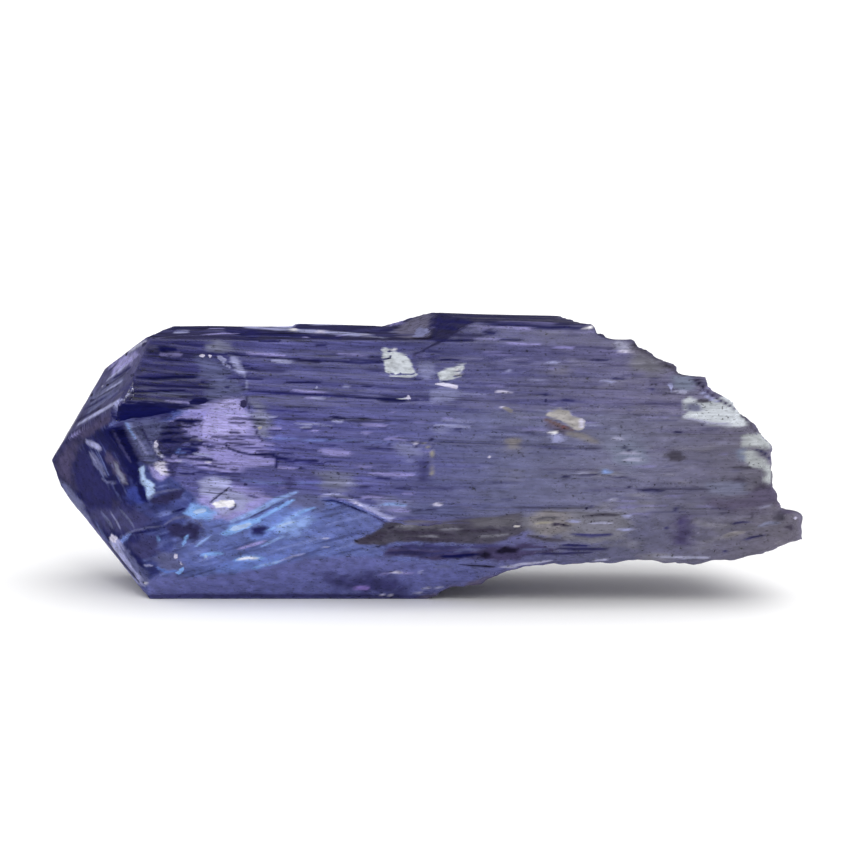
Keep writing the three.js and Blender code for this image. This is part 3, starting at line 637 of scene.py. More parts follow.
    ("patch", "dark brown", 0.1, (1290,516, 1333,525, 1367,507, 1350,482, 1307,486)),
    ("patch", "umber", 0.08, (1358,448, 1392,456, 1418,439, 1401,422, 1367,426), (1478,371, 1520,375,
     1537,354, 1512,333, 1478,345), (1443,456, 1465,465, 1478,448, 1461,435), (1367,362, 1388,371,
     1401,358, 1384,345)),
    ("patch", "dark brown", 0.08, (1529,311, 1550,320, 1559,303, 1542,290)),
    ("line", "ink", 0.05, (1299,320, 1341,328, 1384,328), (1350,252, 1392,264, 1443,273)),
    ("line", "mist", 0.05, (1409,388, 1443,397, 1469,401)),
    ("line", "grey", 0.07, (1418,311, 1461,324, 1503,324)),
    ("line", "tan", 0.08, (1264,269, 1316,281, 1358,286)),
    # white matrix and rust; the glint lines among them are painted highlights
    ("patch", "white", 0.015, (-187,1070, -168,1068, -147,1055, -131,1057, -85,1046, -66,1013, -43,971,
     -37,948, -100,947, -154,948, -173,977, -177,1013, -187,1027)),
    ("line", "ink", 0.045, (-156,1062, -144,1043, -153,1026, -173,1021)),
    ("line", "glint", 0.05, (-143,1062, -126,1064), (682,1156, 693,1157, 709,1157)),
    ("line", "slate", 0.03, (-160,961, -109,960, -49,959)),
    ("line", "dusk", 0.035, (-156,940, -100,939, -36,939)),
    ("patch", "white", 0.05, (47,972, 79,983, 104,990, 139,998, 170,1005, 165,985, 147,972, 154,953,
     130,940, 104,933, 58,928, 48,951)),
    ("patch", "grey lilac", 0.15, (11,896, 104,908, 156,878, 104,840, 28,844)),
    ("patch", "grey lilac", 0.1, (-36,1006, 19,1011, 53,959, 2,934, -32,959)),
    ("patch", "frost", 0.04, (35,917, 70,923, 113,917, 142,907, 130,893, 104,900, 62,908)),
    ("line", "ink", 0.035, (110,971, 126,972, 142,971)),
    ("line", "black", 0.035, (128,952, 143,952, 160,948)),
    ("line", "ink", 0.035, (63,927, 83,927, 104,931)),
    ("line", "glint", 0.04, (117,978, 147,979), (119,958, 147,958)),
    ("patch", "cream", 0.02, (508,789, 528,805, 565,814, 602,803, 619,782, 649,778, 676,756, 667,728,
     639,714, 616,735, 574,751, 547,768, 514,774)),
    ("patch", "frost", 0.04, (638,768, 659,772, 676,756, 667,731, 650,727)),
    ("patch", "brown dusk", 0.08, (505,763, 539,759, 582,733, 608,716, 582,704, 539,716, 510,738)),
    ("line", "brown", 0.09, (505,766, 547,751, 588,732, 630,718)),
    ("line", "rust", 0.05, (574,739, 588,728)),
    ("line", "tan", 0.13, (599,708, 659,693, 731,668)),
    ("patch", "haze", 0.06, (527,691, 539,705, 565,702, 588,687, 582,670, 552,664, 535,674)),
    ("line", "glint", 0.06, (529,710, 555,710)),
    ("patch", "white", 0.07, (1095,851, 1118,864, 1154,849, 1211,853, 1266,869, 1303,846, 1350,814,
     1365,786, 1377,749, 1358,739, 1275,735, 1201,745, 1155,759, 1095,772, 1102,806)),
    ("patch", "grey", 0.08, (1102,832, 1136,840, 1171,827, 1175,802, 1136,793, 1107,802)),
    ("patch", "umber", 0.06, (1143,850, 1166,857, 1205,853, 1212,842, 1188,834, 1154,836)),
    ("line", "mist", 0.05, (1102,774, 1154,762, 1222,748, 1299,744), (644,542, 667,538, 690,533),
     (1256,395, 1286,397, 1314,397)),
    ("patch", "haze", 0.05, (1028,913, 1047,919, 1051,900, 1043,880, 1029,891)),
    ("line", "mist", 0.06, (1058,885, 1085,883, 1114,875), (778,423, 815,426)),
    ("patch", "matrix", 0.09, (1343,682, 1359,706, 1384,698, 1423,722, 1452,695, 1465,678, 1468,648,
     1435,644, 1400,652, 1345,648), (1350,631, 1375,634, 1405,621, 1446,586, 1470,573, 1489,554,
     1490,517, 1471,489, 1437,503, 1443,536, 1423,557, 1377,563, 1361,588)),
    ("line", "ink", 0.05, (1396,637, 1422,631, 1443,617, 1467,594), (579,523, 612,522)),
    ("patch", "dusk", 0.03, (1390,708, 1403,708, 1403,695, 1391,695)),
    ("line", "umber", 0.06, (1294,560, 1341,562, 1384,560)),
    ("patch", "mist", 0.1, (800,1100, 825,1109, 851,1092, 868,1058, 838,1049, 812,1070)),
    ("line", "frost", 0.06, (819,1055, 846,1054, 872,1053)),
    ("patch", "brown dusk", 0.12, (872,1083, 940,1075, 1000,1053, 1060,1011, 1068,989, 1017,981,
     949,994, 889,1028)),
    ("patch", "black", 0.08, (881,1098, 928,1106, 970,1089, 957,1072, 910,1075, 885,1083)),
    ("patch", "crust", 0.3, (864,1053, 915,1053, 1000,1019, 1017,977, 949,959, 881,985)),
    ("patch", "umber", 0.1, (1013,623, 1047,637, 1085,627, 1111,597, 1085,576, 1034,584)),
    ("line", "ink", 0.04, (649,529, 693,529, 718,530, 741,536)),
    ("line", "ink", 0.035, (741,536, 783,522, 889,513)),
    ("patch", "pale blue", 0.08, (744,554, 770,556, 783,542, 761,537)),
    ("line", "ink", 0.05, (848,480, 865,478), (885,466, 923,464, 973,467, 1004,461), (1213,386,
     1264,386, 1311,388)),
    ("patch", "black", 0.02, (669,385, 678,393, 693,390, 686,380)),
    ("line", "dusk", 0.04, (687,388, 701,395, 719,401)),
    ("line", "navy", 0.06, (1051,380, 1068,384)),
    ("line", "navy", 0.1, (1072,330, 1090,324)),
    ("line", "navy", 0.06, (1013,303, 1037,301), (1269,204, 1286,202)),
    ("patch", "frost", 0.03, (1155,293, 1169,294, 1171,286, 1158,283)),
    ("line", "ink", 0.06, (1303,405, 1333,409, 1361,406)),
    ("patch", "brown dusk", 0.3, (1196,431, 1299,439, 1409,465, 1478,482, 1495,422, 1426,380, 1299,371,
     1205,388)),
    ("patch", "grey", 0.25, (1196,490, 1264,503, 1350,499, 1358,456, 1273,439, 1205,448)),
    ("patch", "plum", 0.4, (1068,362, 1111,371, 1136,311, 1119,243, 1068,235, 1051,303)),
    ("patch", "brown dusk", 0.12, (1499,414, 1537,405, 1571,375, 1546,362, 1507,380)),
    ("patch", "frost", 0.03, (1558,348, 1571,354, 1582,344, 1567,335)),
    # the rim of the broken end
    ("line", "umber", 0.1, (864,1092, 915,1062, 979,1032, 1034,989, 1102,951)),
    ("line", "plum", 0.06, (1128,938, 1171,908, 1205,874, 1264,840, 1316,810)),
    ("line", "umber", 0.08, (1333,797, 1367,759, 1405,708)),
    ("line", "black", 0.05, (889,1092, 932,1075, 966,1053), (1119,955, 1154,930, 1183,900)),
    ("line", "haze", 0.06, (1171,883, 1205,857, 1239,840)),
    ("line", "mist", 0.06, (966,1053, 1000,1032, 1034,1011)),
]

# Marks on the back, on a sheet of its own that leans the other way.
BACK_MARKS = [
    # white matrix with a rust seam, near the broken end
    ("patch", "white", 0.08, (830,960, 920,990, 1040,950, 1110,880, 1020,840, 910,870, 840,900)),
    ("line", "rust", 0.07, (820,890, 910,850, 1030,820)),
    ("patch", "cream", 0.12, (1220,620, 1300,650, 1390,600, 1350,540, 1260,550)),
    ("patch", "white", 0.02, (-130,1020, -50,1040, 30,1000, -10,960, -100,970)),
    # a lilac fracture with dark lenses, and pale clouds
    ("patch", "lilac", 0.25, (-960,760, -780,830, -560,790, -500,660, -660,570, -860,590, -980,660)),
    ("line", "night", 0.09, (-920,730, -830,740, -740,730)),
    ("line", "night", 0.07, (-950,670, -840,680, -760,670)),
    ("line", "night", 0.1, (-890,620, -800,630, -700,620)),
    ("patch", "grey", 0.35, (360,690, 520,760, 720,720, 740,590, 540,530, 390,580)),
    ("patch", "slate", 0.35, (-1140,360, -920,440, -640,420, -520,320, -740,220, -1020,220)),
    ("line", "pale blue", 0.06, (-1040,300, -900,340, -760,380)),
    ("patch", "umber", 0.12, (-220,340, 40,370, 320,340, 380,290, 140,260, -140,280)),
    # long growth lines
    ("line", "navy", 0.12, (-1000,960, -600,940, -200,930)),
    ("line", "night", 0.07, (-400,840, 100,820, 600,810)),
    ("line", "navy", 0.09, (0,500, 400,490, 900,490)),
    ("line", "haze", 0.05, (-350,660, -50,650, 200,650)),
    ("line", "night", 0.06, (-600,510, -300,500, -100,500)),
]

# The stone turns hazy towards the broken end, which veils its growth lines: from which x to
# which, and by what share.
HAZE_FROM = (-5, 4)
HAZE = 0.55

# How marks are drawn: how narrow a line is at its tips, how softly it ends there, how soft its
# edge is as a share of its width and at the least, and how far it strays.
LINE_TIP = 0.35
TIP_POWER = 4
LINE_SOFT = (0.6, 0.03)
LINE_STRAY = 0.3
# How far a patch's edge strays: by a share of its softness, that much more, and at the most.
PATCH_STRAY = (0.8, 0.03, 0.3)
# A patch whose edge is no softer than this is drawn sharply, and its edge strays by a share of
# its reach from edge to middle, kept within these limits. A soft mark dims it from this cover on.
SHARP = 0.05
PATCH_REACH = (0.04, 0.3)
COVERED = 0.5
NO_PATCH = (0.1, 0.1, 0.25, 0.3)
# A line whose tint is brighter than this stands up as a ridge, and any other is a groove. They
# are this high and deep at this half width, and grow with it up to a number of times.
BRIGHT = 0.2
RIDGE, GROOVE = 0.012, -0.03
RELIEF_WIDTH, MOST_RELIEF = 0.05, 1.5

# Loose growth dashes, on each side and on the lilac flake: seed, how many there are, and the
# corners of where they lie. Then how likely each tint is, and their sizes.
FRONT_DASHES = (41, 420, (-13.5, 1.2), (15, 12))
BACK_DASHES = (42, 420, (-13.5, 1.2), (15, 12))
FLAKE_DASHES = (43, 50, (-11.4, 5.4), (-6.6, 8.2))
DASH_TINTS = {"navy": 0.3, "dusk": 0.25, "ink": 0.15, "lilac": 0.2, "haze": 0.1}
DASH_LENGTHS = (0.25, 2.6)
DASH_WIDTHS = (0.022, 0.055)

# Loose blots on the back: the same, how likely each tint is, and how far they reach. Then how
# many corners one has, how far those stray around it and in and out, how much it is stretched
# along and across, and how soft its edge is: for pale tints, and for others by its reach.
BACK_BLOTS = (45, 70, (-12, 0.8), (15, 12))
BLOT_TINTS = {
    "white": 0.08, "cream": 0.06, "ink": 0.16, "umber": 0.14, "tan": 0.14, "teal grey": 0.14,
    "dusk": 0.14, "grey lilac": 0.14,
}
BLOT_SIZES = (0.12, 0.55)
BLOT_CORNERS = 8
BLOT_TURN = 0.3
BLOT_RIMS = (0.55, 1.2)
BLOT_STRETCH = (1.7, 0.7)
PALE_BLOTS = ("white", "cream")
PALE_BLOT_SOFT, BLOT_SOFT = 0.06, 0.4

# Noise in the material: bump sizes in mm along the grain and across it, detail, seed, roughness.
TEXTURES = {
    "ragged": ((0.6, 0.1, 0.1), 3, 1, 0.55),
    "streaks": ((3.0, 0.16, 0.16), 4, 2, 0.62),
    "threads": ((1.6, 0.07, 0.07), 3, 3, 0.6),
    "mottle": ((0.5, 0.2, 0.2), 4, 4, 0.6),
    "wear": ((1.2, 0.4, 0.4), 3, 5, 0.55),
    "specks": ((0.2, 0.06, 0.06), 2, 6, 0.55),
    "lines": ((9.0, 0.13, 0.13), 3, 7, 0.6),
    "cloud": ((0.5, 0.3, 0.3), 4, 8, 0.6),
    "dots": ((0.16, 0.1, 0.1), 1, 9, 0.55),
}
SEED_STEP = (7.3, 3.1, 5.7)  # how far a seed of one more moves a noise

# What the textures add to the light of the stone: two values of a texture, and what it adds at
# each. Streaky faces have rows of their own, so have the smooth ones, and the last are for all.
STREAKY_SHADES = [
    ("streaks", 0.46, 0.32, 0.0, 0.4), ("streaks", 0.52, 0.68, 0.0, -0.45),
    ("threads", 0.35, 0.65, -0.22, 0.22), ("lines", 0.6, 0.68, 0.0, -0.55),
]
SMOOTH_SHADES = [("cloud", 0.3, 0.7, -0.25, 0.25)]
SHADES = [("specks", 0.6, 0.7, 0.0, -0.45), ("dots", 0.66, 0.72, 0.0, -0.6)]
LEAST_LIGHT = 0.1  # that is left, as a share
PATCH_MOTTLE = ("mottle", 0.36, 0.64, 0.76, 1.14)  # the light of sharp patches
PATCH_SHADE = 0.35  # how much of the stone's own shade shows on them
RAGGED_EDGE = 1.3  # how far the ragged texture moves their edges
PATCH_EDGE = (-0.2, 0.24)  # where they fade in
WEAR_RANGE = (0.3, 0.7)
THREAD_BUMP = {"Strength": 0.35, "Distance": 0.00004}


# ---------------------------------------------------------------- small helpers


def srgb(red, green, blue):
    """A colour given in screen values of 0 to 255, as linear light."""
    share = np.array([red, green, blue], float) / 255
    return np.where(share <= 0.04045, share / 12.92, ((share + 0.055) / 1.055) ** 2.4)


def ramp(value, low, high):
    """0 below low, 1 above high, and smooth between."""
    share = np.clip((value - low) / (high - low), 0, 1)
    return share * share * (3 - 2 * share)


def noise3(points, sizes, seed):
    """Smooth noise of about -1 to 1 whose bumps have the given sizes along X, Y and Z."""
    rng = np.random.default_rng(seed)
    order = np.tile(rng.permutation(NOISE_CELLS), 2)
    slopes = rng.normal(size=(NOISE_CELLS, 3))
    slopes /= np.linalg.norm(slopes, axis=1, keepdims=True)
    points = points / np.array(sizes)
    cell = np.floor(points).astype(int)
    inside = points - cell
    fade = inside**3 * (inside * (inside * 6 - 15) + 10)
    total = np.zeros(len(points))
    for corner in itertools.product((0, 1), repeat=3):
        i, j, k = ((cell + corner) % NOISE_CELLS).T
        slope = slopes[order[order[order[i] + j] + k]]
        weight = np.prod(np.where(corner, fade, 1 - fade), axis=1)
        total += weight * np.einsum("ij,ij->i", slope, inside - corner)
    return total * NOISE_GAIN


def layers(points, rows):
    """The sum of layers of noise, each given by its strength, bump sizes and seed."""
    return sum(strength * noise3(points, sizes, seed) for strength, sizes, seed in rows)


def share_of(shares, names):
    """How much each vertex belongs to any of the named kinds of face."""
    return sum(shares[name] for name in names)


def tinge(colour, share, tint):
    """Colours changed to a seen tint, each by its share."""
    return colour + share[:, None] * (srgb(*tint) - colour)


# ---------------------------------------------------------------- the skin


def read_vertices(mesh):
    flat = np.zeros(len(mesh.vertices) * 3)
    mesh.vertices.foreach_get("co", flat)
    return flat.reshape(-1, 3)


def skin_space():
    """x along the stone, and the same x where the skin's voxels are cubes."""
    x = np.linspace(*SKIN_RANGE)
    cuts = np.interp(x, *zip(*SKIN_ALONG))
    warped = np.concatenate([[0], np.cumsum((cuts[1:] + cuts[:-1]) / 2 * np.diff(x))])
    return x, warped - np.interp(0, x, warped)


def dense_skin(node):
    """The solid's surface as an even net of small quads: vertices in mm, and quads."""
    x, warped = skin_space()
    points = read_vertices(node.data) / MM
    shrink = np.interp(points[:, 1], *zip(*SKIN_DEPTH))
    moved = points.copy()
    moved[:, 0] = np.interp(points[:, 0], x, warped) * shrink
    moved[:, 2] = (points[:, 2] - AIM_HEIGHT) * shrink
    mesh = bpy.data.meshes.new("skin_source")
    mesh.from_pydata(moved.tolist(), [], [tuple(p.vertices) for p in node.data.polygons])
    helper = bpy.data.objects.new("skin_source", mesh)
    bpy.context.scene.collection.objects.link(helper)
    net_maker = helper.modifiers.new("net", "REMESH")
    net_maker.mode = "VOXEL"
    net_maker.voxel_size = VOXEL
    bpy.context.view_layer.update()
    graph = bpy.context.evaluated_depsgraph_get()
    net = bpy.data.meshes.new_from_object(helper.evaluated_get(graph))
    bpy.data.objects.remove(helper)
    points = read_vertices(net)
    shrink = np.interp(points[:, 1], *zip(*SKIN_DEPTH))
    points[:, 0] = np.interp(points[:, 0] / shrink, warped, x)
    points[:, 2] = points[:, 2] / shrink + AIM_HEIGHT
    quads = np.zeros(len(net.loops), int)
    net.loops.foreach_get("vertex_index", quads)
    bpy.data.meshes.remove(net)
    return points, quads.reshape(-1, 4)


def lay_on_solid(points, node):
    """Each point moved to the nearest place on the solid, and the solid's facing there."""
    corners = read_vertices(node.data) / MM
    tree = BVHTree.FromPolygons(corners.tolist(), [tuple(p.vertices) for p in node.data.polygons])
    places = np.zeros_like(points)
    facing = np.zeros_like(points)
    for row, point in enumerate(points):
        places[row], facing[row], _, _ = tree.find_nearest(Vector(point))
    return places, facing


def smooth_over(values, quads, rounds):
    """Values at the vertices, evened out with their neighbours."""
    start = quads.ravel()
    end = np.roll(quads, -1, axis=1).ravel()
    count = np.bincount(start, minlength=len(values))
    columns = values.reshape(len(values), -1).T
    for _ in range(rounds):
        around = np.array([np.bincount(start, c[end], len(values)) for c in columns])
        columns = (columns + around / count) / 2
    return columns.T.reshape(values.shape)


def vertex_normals(points, quads):
    """The outward direction at each vertex, evened out once."""
    a, b, c, d = (points[quads[:, i]] for i in range(4))
    faces = np.cross(c - a, d - b)
    total = np.zeros_like(points)
    for column in quads.T:
        for axis in range(3):
            total[:, axis] += np.bincount(column, faces[:, axis], len(points))
    total /= np.maximum(np.linalg.norm(total, axis=1, keepdims=True), 1e-12)
    normals = smooth_over(total, quads, 1)
    return normals / np.linalg.norm(normals, axis=1, keepdims=True)


# ---------------------------------------------------------------- where things are


def grain_height(points):
    """Height measured across the growth lines."""
    x = points[:, 0]
    return points[:, 2] + GRAIN_SLOPE * x - GRAIN_FLATTENS / 2 * x * x


def grain_place(points):
    """Each point's place in a space whose X runs along the growth lines."""
    return np.column_stack([points[:, 0], points[:, 1], grain_height(points)])


def face_shares(points, facing, quads):
    """How much each vertex belongs to each kind of face. The shares of a vertex add up to 1."""
    x, _, z = points.T
    nx, ny, nz = facing.T
    names = list(FACE_TINTS)
    pick = np.where(ny < 0, names.index("middle front"), names.index("back"))
    pick[(ny < 0) & (nz > UPPER_FRONT_NZ)] = names.index("upper front")
    pick[(ny < 0) & (nz < LOWER_FRONT_NZ)] = names.index("lower front")
    pick[nz > TOP_NZ] = names.index("top")
    pick[(nz < UNDERCUT_NZ) & (x > UNDERCUT_X)] = names.index("undercut")
    pick[(nz < BASE_NZ) & (z < BASE_Z)] = names.index("base")
    pick[(nx > BROKEN_NX) & (x > BROKEN_X)] = names.index("broken end")
    for name, direction in FACETS.items():
        unit = np.array(direction) / np.linalg.norm(direction)
        pick[(facing @ unit > FACET_MATCH) & (x < FACETS_END)] = names.index(name)
    shares = np.zeros((len(points), len(names)))
    shares[np.arange(len(points)), pick] = 1
    return dict(zip(names, smooth_over(shares, quads, FACE_BLEND).T))


class Sheet:
    """The sheet that the marks on one side are laid out on."""

    def __init__(self, points, facing, side):
        toward = np.array([0, -side * math.cos(VIEW_ELEVATION), math.sin(VIEW_ELEVATION)])
        self.seen = np.flatnonzero(facing @ toward > EDGE_ON)
        x, y, z = points[self.seen].T
        self.x = x
        self.v = z * math.cos(VIEW_ELEVATION) + (side * y - FOOT_Y) * math.sin(VIEW_ELEVATION)

    def from_line(self, course):
        """The distance from a line through the course, and the share of the way along it."""
        course = np.array(course, float)
        runs = np.linalg.norm(np.diff(course, axis=0), axis=1)
        starts = np.concatenate([[0], np.cumsum(runs)])
        nearest = np.full(len(self.x), np.inf)
        share = np.zeros(len(self.x))
        for start, end, run, before in zip(course[:-1], course[1:], runs, starts):
            dx, dv = (end - start) / run
            along = np.clip((self.x - start[0]) * dx + (self.v - start[1]) * dv, 0, run)
            gap = np.hypot(self.x - start[0] - along * dx, self.v - start[1] - along * dv)
            closer = gap < nearest
            nearest[closer] = gap[closer]
            share[closer] = ((before + along) / starts[-1])[closer]
        return nearest, share

    def inside(self, outline):
        """The distance to a closed outline, counted negative outside it."""
        gap, _ = self.from_line([*outline, outline[0]])
        within = np.zeros(len(self.x), bool)
        for (x0, v0), (x1, v1) in zip(outline, [*outline[1:], outline[0]]):
            if v0 != v1:
                crosses = (v0 > self.v) != (v1 > self.v)
                within ^= crosses & (self.x < x0 + (self.v - v0) * (x1 - x0) / (v1 - v0))
        return np.where(within, gap, -gap)


# ---------------------------------------------------------------- relief


def relief(points, shares):
    """How far the fine surface stands above the plain one, in mm."""
    x, y, z = points.T
    steps = np.column_stack([x + z, y, z - GROWTH_TILT * x])
    return (
        share_of(shares, STRIATED) * layers(grain_place(points), STRIAE)
        + share_of(shares, BROKEN) * (layers(points, CRUMBLE) + np.abs(layers(points, BLUNT_RIDGES)))
        + shares["lower front"] * layers(points, GLASS_WAVES)
        + share_of(shares, FACETS) * layers(steps, GROWTH_STEPS)
    )


# ---------------------------------------------------------------- colour


def face_colours(points, shares):
    """The seen colour and the clearness of the plain faces, before any marks."""
    colour = np.zeros((len(points), 3))
    clear = np.zeros(len(points))
    for name, (rows, clearness) in FACE_TINTS.items():
        x, *channels = zip(*rows)
        tint = np.column_stack([np.interp(points[:, 0], x, channel) for channel in channels])
        colour += shares[name][:, None] * srgb(*tint.T).T
        clear += shares[name] * clearness
    grain = grain_place(points)
    colour *= (1 + layers(grain, CLOUDS))[:, None]
    tan = ramp(layers(grain, TAN_CLOUDS), *TAN_RANGE) * (TAN_COVER * ramp(points[:, 0], *TAN_ALONG))
    colour = tinge(colour, tan, TAN_CLOUD)
    stain = layers(points, STAINS)
    for sign, limits, tint in STAIN_TINTS:
        share = STAIN_COVER * ramp(sign * stain, *limits) * share_of(shares, BROKEN)
        colour = tinge(colour, share, tint)
    for row, name in enumerate(INNER_STREAKS):
        streak = inner_streaks(points, row, *INNER_STREAKS[name])
        for sign, limits, tint in STREAK_TINTS:
            share = STREAK_COVER * ramp(sign * streak, *limits) * shares[name]
            colour = tinge(colour, share * ramp(-points[:, 0], *STREAKS_ALONG), tint)
    return colour, clear


def inner_streaks(points, row, rise, length, width):
    """Noise in streaks that rise towards +X by an angle in degrees."""
    x, y, z = points.T
    turn = math.radians(rise)
    along = x * math.cos(turn) + z * math.sin(turn)
    across = z * math.cos(turn) - x * math.sin(turn)
    strength, shorter, thinner = FINE_STREAKS
    rows = [
        (1, (length, length, width), STREAK_SEEDS[0] + row),
        (strength, (length / shorter, length / shorter, width / thinner), STREAK_SEEDS[1] + row),
    ]
    return layers(np.column_stack([along, y, across]), rows)


def each_mark(table):
    """The marks of a table one by one, with their courses in mm."""
    for kind, tint, size, *courses in table:
        for course in courses:
            yield kind, tint, size, np.reshape(course, (-1, 2)) / 100


def loose_dashes(seed, count, low, high):
    """Short marks along the grain, scattered between two corners of one side."""
    rng = np.random.default_rng(seed)
    marks = []
    for _ in range(count):
        x, v = rng.uniform(low, high)
        run = math.exp(rng.uniform(*np.log(DASH_LENGTHS)))
        width = rng.uniform(*DASH_WIDTHS)
        tint = rng.choice(list(DASH_TINTS), p=list(DASH_TINTS.values()))
        slope = GRAIN_SLOPE - GRAIN_FLATTENS * x
        marks.append(("line", tint, width, [(x, v), (x + run, v - slope * run)]))
    return marks


def loose_blots(seed, count, low, high):
    """Bits of pale matrix, stains and pits, scattered between two corners of one side."""
    rng = np.random.default_rng(seed)
    marks = []
    for _ in range(count):
        x, v = rng.uniform(low, high)
        tint = rng.choice(list(BLOT_TINTS), p=list(BLOT_TINTS.values()))
        reach = math.exp(rng.uniform(*np.log(BLOT_SIZES)))
        turns = np.linspace(0, 2 * math.pi, BLOT_CORNERS + 1)[:-1]
        turns = turns + rng.uniform(-BLOT_TURN, BLOT_TURN, BLOT_CORNERS)
        rims = reach * rng.uniform(*BLOT_RIMS, BLOT_CORNERS)
        along, across = BLOT_STRETCH
        outline = [
            (x + along * rim * math.cos(turn), v + across * rim * math.sin(turn))
            for rim, turn in zip(rims, turns)
        ]
        soft = PALE_BLOT_SOFT if tint in PALE_BLOTS else BLOT_SOFT * reach
        marks.append(("patch", tint, soft, outline))
    return marks


def fray(points, shares):
    """How the edges of marks stray: in streaks along the grain, and freely on the glassy faces."""
    striated = share_of(shares, STRIATED)
    along = layers(grain_place(points), FRAY_ALONG)
    return striated * along + (1 - striated) * layers(points, FRAY_LOOSE)


def line_depth(sheet, course, size, stray):
    """How far inside a line each vertex is, and how soft the line's edge is."""
    gap, share = sheet.from_line(course)
    taper = 1 - np.abs(2 * share - 1) ** TIP_POWER
    depth = size * (LINE_TIP + (1 - LINE_TIP) * taper) - gap
    return depth + LINE_STRAY * size * stray, max(LINE_SOFT[0] * size, LINE_SOFT[1])


def patch_depth(sheet, outline, size, stray):
    """How far inside a patch each vertex is, and how soft the patch's edge is."""
    share, more, most = PATCH_STRAY
    return sheet.inside(outline) + min(share * size + more, most) * stray, size


def lay_marks(sheet, marks, paint, height, where):
    """Lays marks on the skin: paint holds what is seen, and height takes grooves and ridges."""
    here = sheet.seen
    for kind, tint, size, course in marks:
        *seen, clear = TINTS[tint]
        colour = srgb(*seen)
        measure = line_depth if kind == "line" else patch_depth
        depth, soft = measure(sheet, course, size, paint["stray"][here])
        cover = ramp(depth, -soft, soft) * where[here]
        if kind == "patch" and size <= SHARP:
            depth = depth / np.clip(depth.max(), *PATCH_REACH)
            deeper = depth > paint["edge"][here]
            spot = here[deeper]
            paint["edge"][spot] = depth[deeper]
            paint["patch"][spot] = [*colour, clear]
        else:
            paint["base"][here] += cover[:, None] * ([*colour, clear] - paint["base"][here])
            under = (paint["edge"][here] > 0) & (cover > COVERED)
            paint["edge"][here[under]] -= cover[under]
        if kind == "line":
            rise = RIDGE if colour.mean() > BRIGHT else GROOVE
            height[here] += cover * rise * min(size / RELIEF_WIDTH, MOST_RELIEF)


# ---------------------------------------------------------------- the crystal


def soften_glass(points, quads, shares):
    """The skin with the edges between its glassy faces turned into soft bends."""
    glassy = ramp(smooth_over(share_of(shares, GLASSY), quads, GLASS_RIM), *GLASS_SHARE)
    soft = smooth_over(points, quads, GLASS_ROUNDS)
    soft = 2 * soft - smooth_over(soft, quads, GLASS_ROUNDS)  # keeps their full height
    return points + glassy[:, None] * (soft - points)


def paint_stone(points, facing, shares, height):
    """What is painted on the skin, with the grooves and ridges of its marks cut into height."""
    striated = share_of(shares, STRIATED)
    veiled = 1 - HAZE * ramp(points[:, 0], *HAZE_FROM)
    paint = {
        "base": np.column_stack(face_colours(points, shares)),
        "patch": np.tile(NO_PATCH, (len(points), 1)),
        "edge": np.full(len(points), -1.0),
        "stray": fray(points, shares),
        "streaky": (striated + share_of(shares, BROKEN)) * veiled,
    }
    front = Sheet(points, facing, 1)
    back = Sheet(points, facing, -1)
    everywhere = np.ones(len(points))
    rear = ramp(facing[:, 1] + np.maximum(facing[:, 0], 0), *BACK_FROM)
    lay_marks(front, loose_dashes(*FRONT_DASHES), paint, height, striated * veiled)
    lay_marks(front, each_mark(FRONT_MARKS), paint, height, everywhere)
    lay_marks(front, loose_dashes(*FLAKE_DASHES), paint, height, striated)
    lay_marks(back, loose_dashes(*BACK_DASHES), paint, height, striated * veiled)
    lay_marks(back, each_mark(BACK_MARKS), paint, height, rear)
    lay_marks(back, loose_blots(*BACK_BLOTS), paint, height, rear)
    return paint


def build_crystal(node):
    """The stone: a dense skin on the solid, with its relief, its colours and its grain."""
    points, quads = dense_skin(node)
    points, facing = lay_on_solid(points, node)
    shares = face_shares(points, facing, quads)
    points = soften_glass(points, quads, shares)
    facing = smooth_over(facing, quads, FACE_BLEND)
    height = relief(points, shares)
    paint = paint_stone(points, facing, shares, height)
    light = light_on(facing)
    for layer in ("base", "patch"):
        paint[layer] = as_albedo(paint[layer], light)
    grain = grain_place(points)
    grain[:, 0] *= 1 + (BROKEN_GRAIN - 1) * share_of(shares, BROKEN)
    points = points + vertex_normals(points, quads) * height[:, None]
    points[:, 2] = np.maximum(points[:, 2], 0)
    return stone_object(points, quads, grain, paint)


def light_on(facing):
    """How bright a white surface would be, by its facing, under the room, the key and the floor."""
    z = 1 - (2 * np.arange(LIGHT_RAYS) + 1) / LIGHT_RAYS
    turn = np.arange(LIGHT_RAYS) * math.pi * (3 - math.sqrt(5))
    flat = np.sqrt(1 - z * z)
    rays = np.column_stack([flat * np.cos(turn), flat * np.sin(turn), z])
    room = ROOM_LIGHT[0] + (ROOM_LIGHT[1] - ROOM_LIGHT[0]) * ramp(z, *ROOM_RISE)
    glow = room + SIDE_LIGHT * np.abs(rays[:, 0]) ** SIDE_POWER
    key = np.array(KEY_FROM) / np.linalg.norm(KEY_FROM)
    in_key = rays @ key > math.cos(KEY_SPREAD / 2)
    glow[in_key] += KEY_POWER * LIGHT_RAYS / (4 * math.pi * in_key.sum())
    above = z > 0
    shade = FLOOR_SHADE + (1 - FLOOR_SHADE) * ramp(z[~above], *FLOOR_CLEARS)
    glow[~above] = FLOOR_WHITE * shade * (glow[above] @ z[above]) * 4 / LIGHT_RAYS
    parts = np.array_split(facing, 20)  # that are small enough for the memory
    return np.concatenate([np.maximum(part @ rays.T, 0) @ glow for part in parts]) * 4 / LIGHT_RAYS


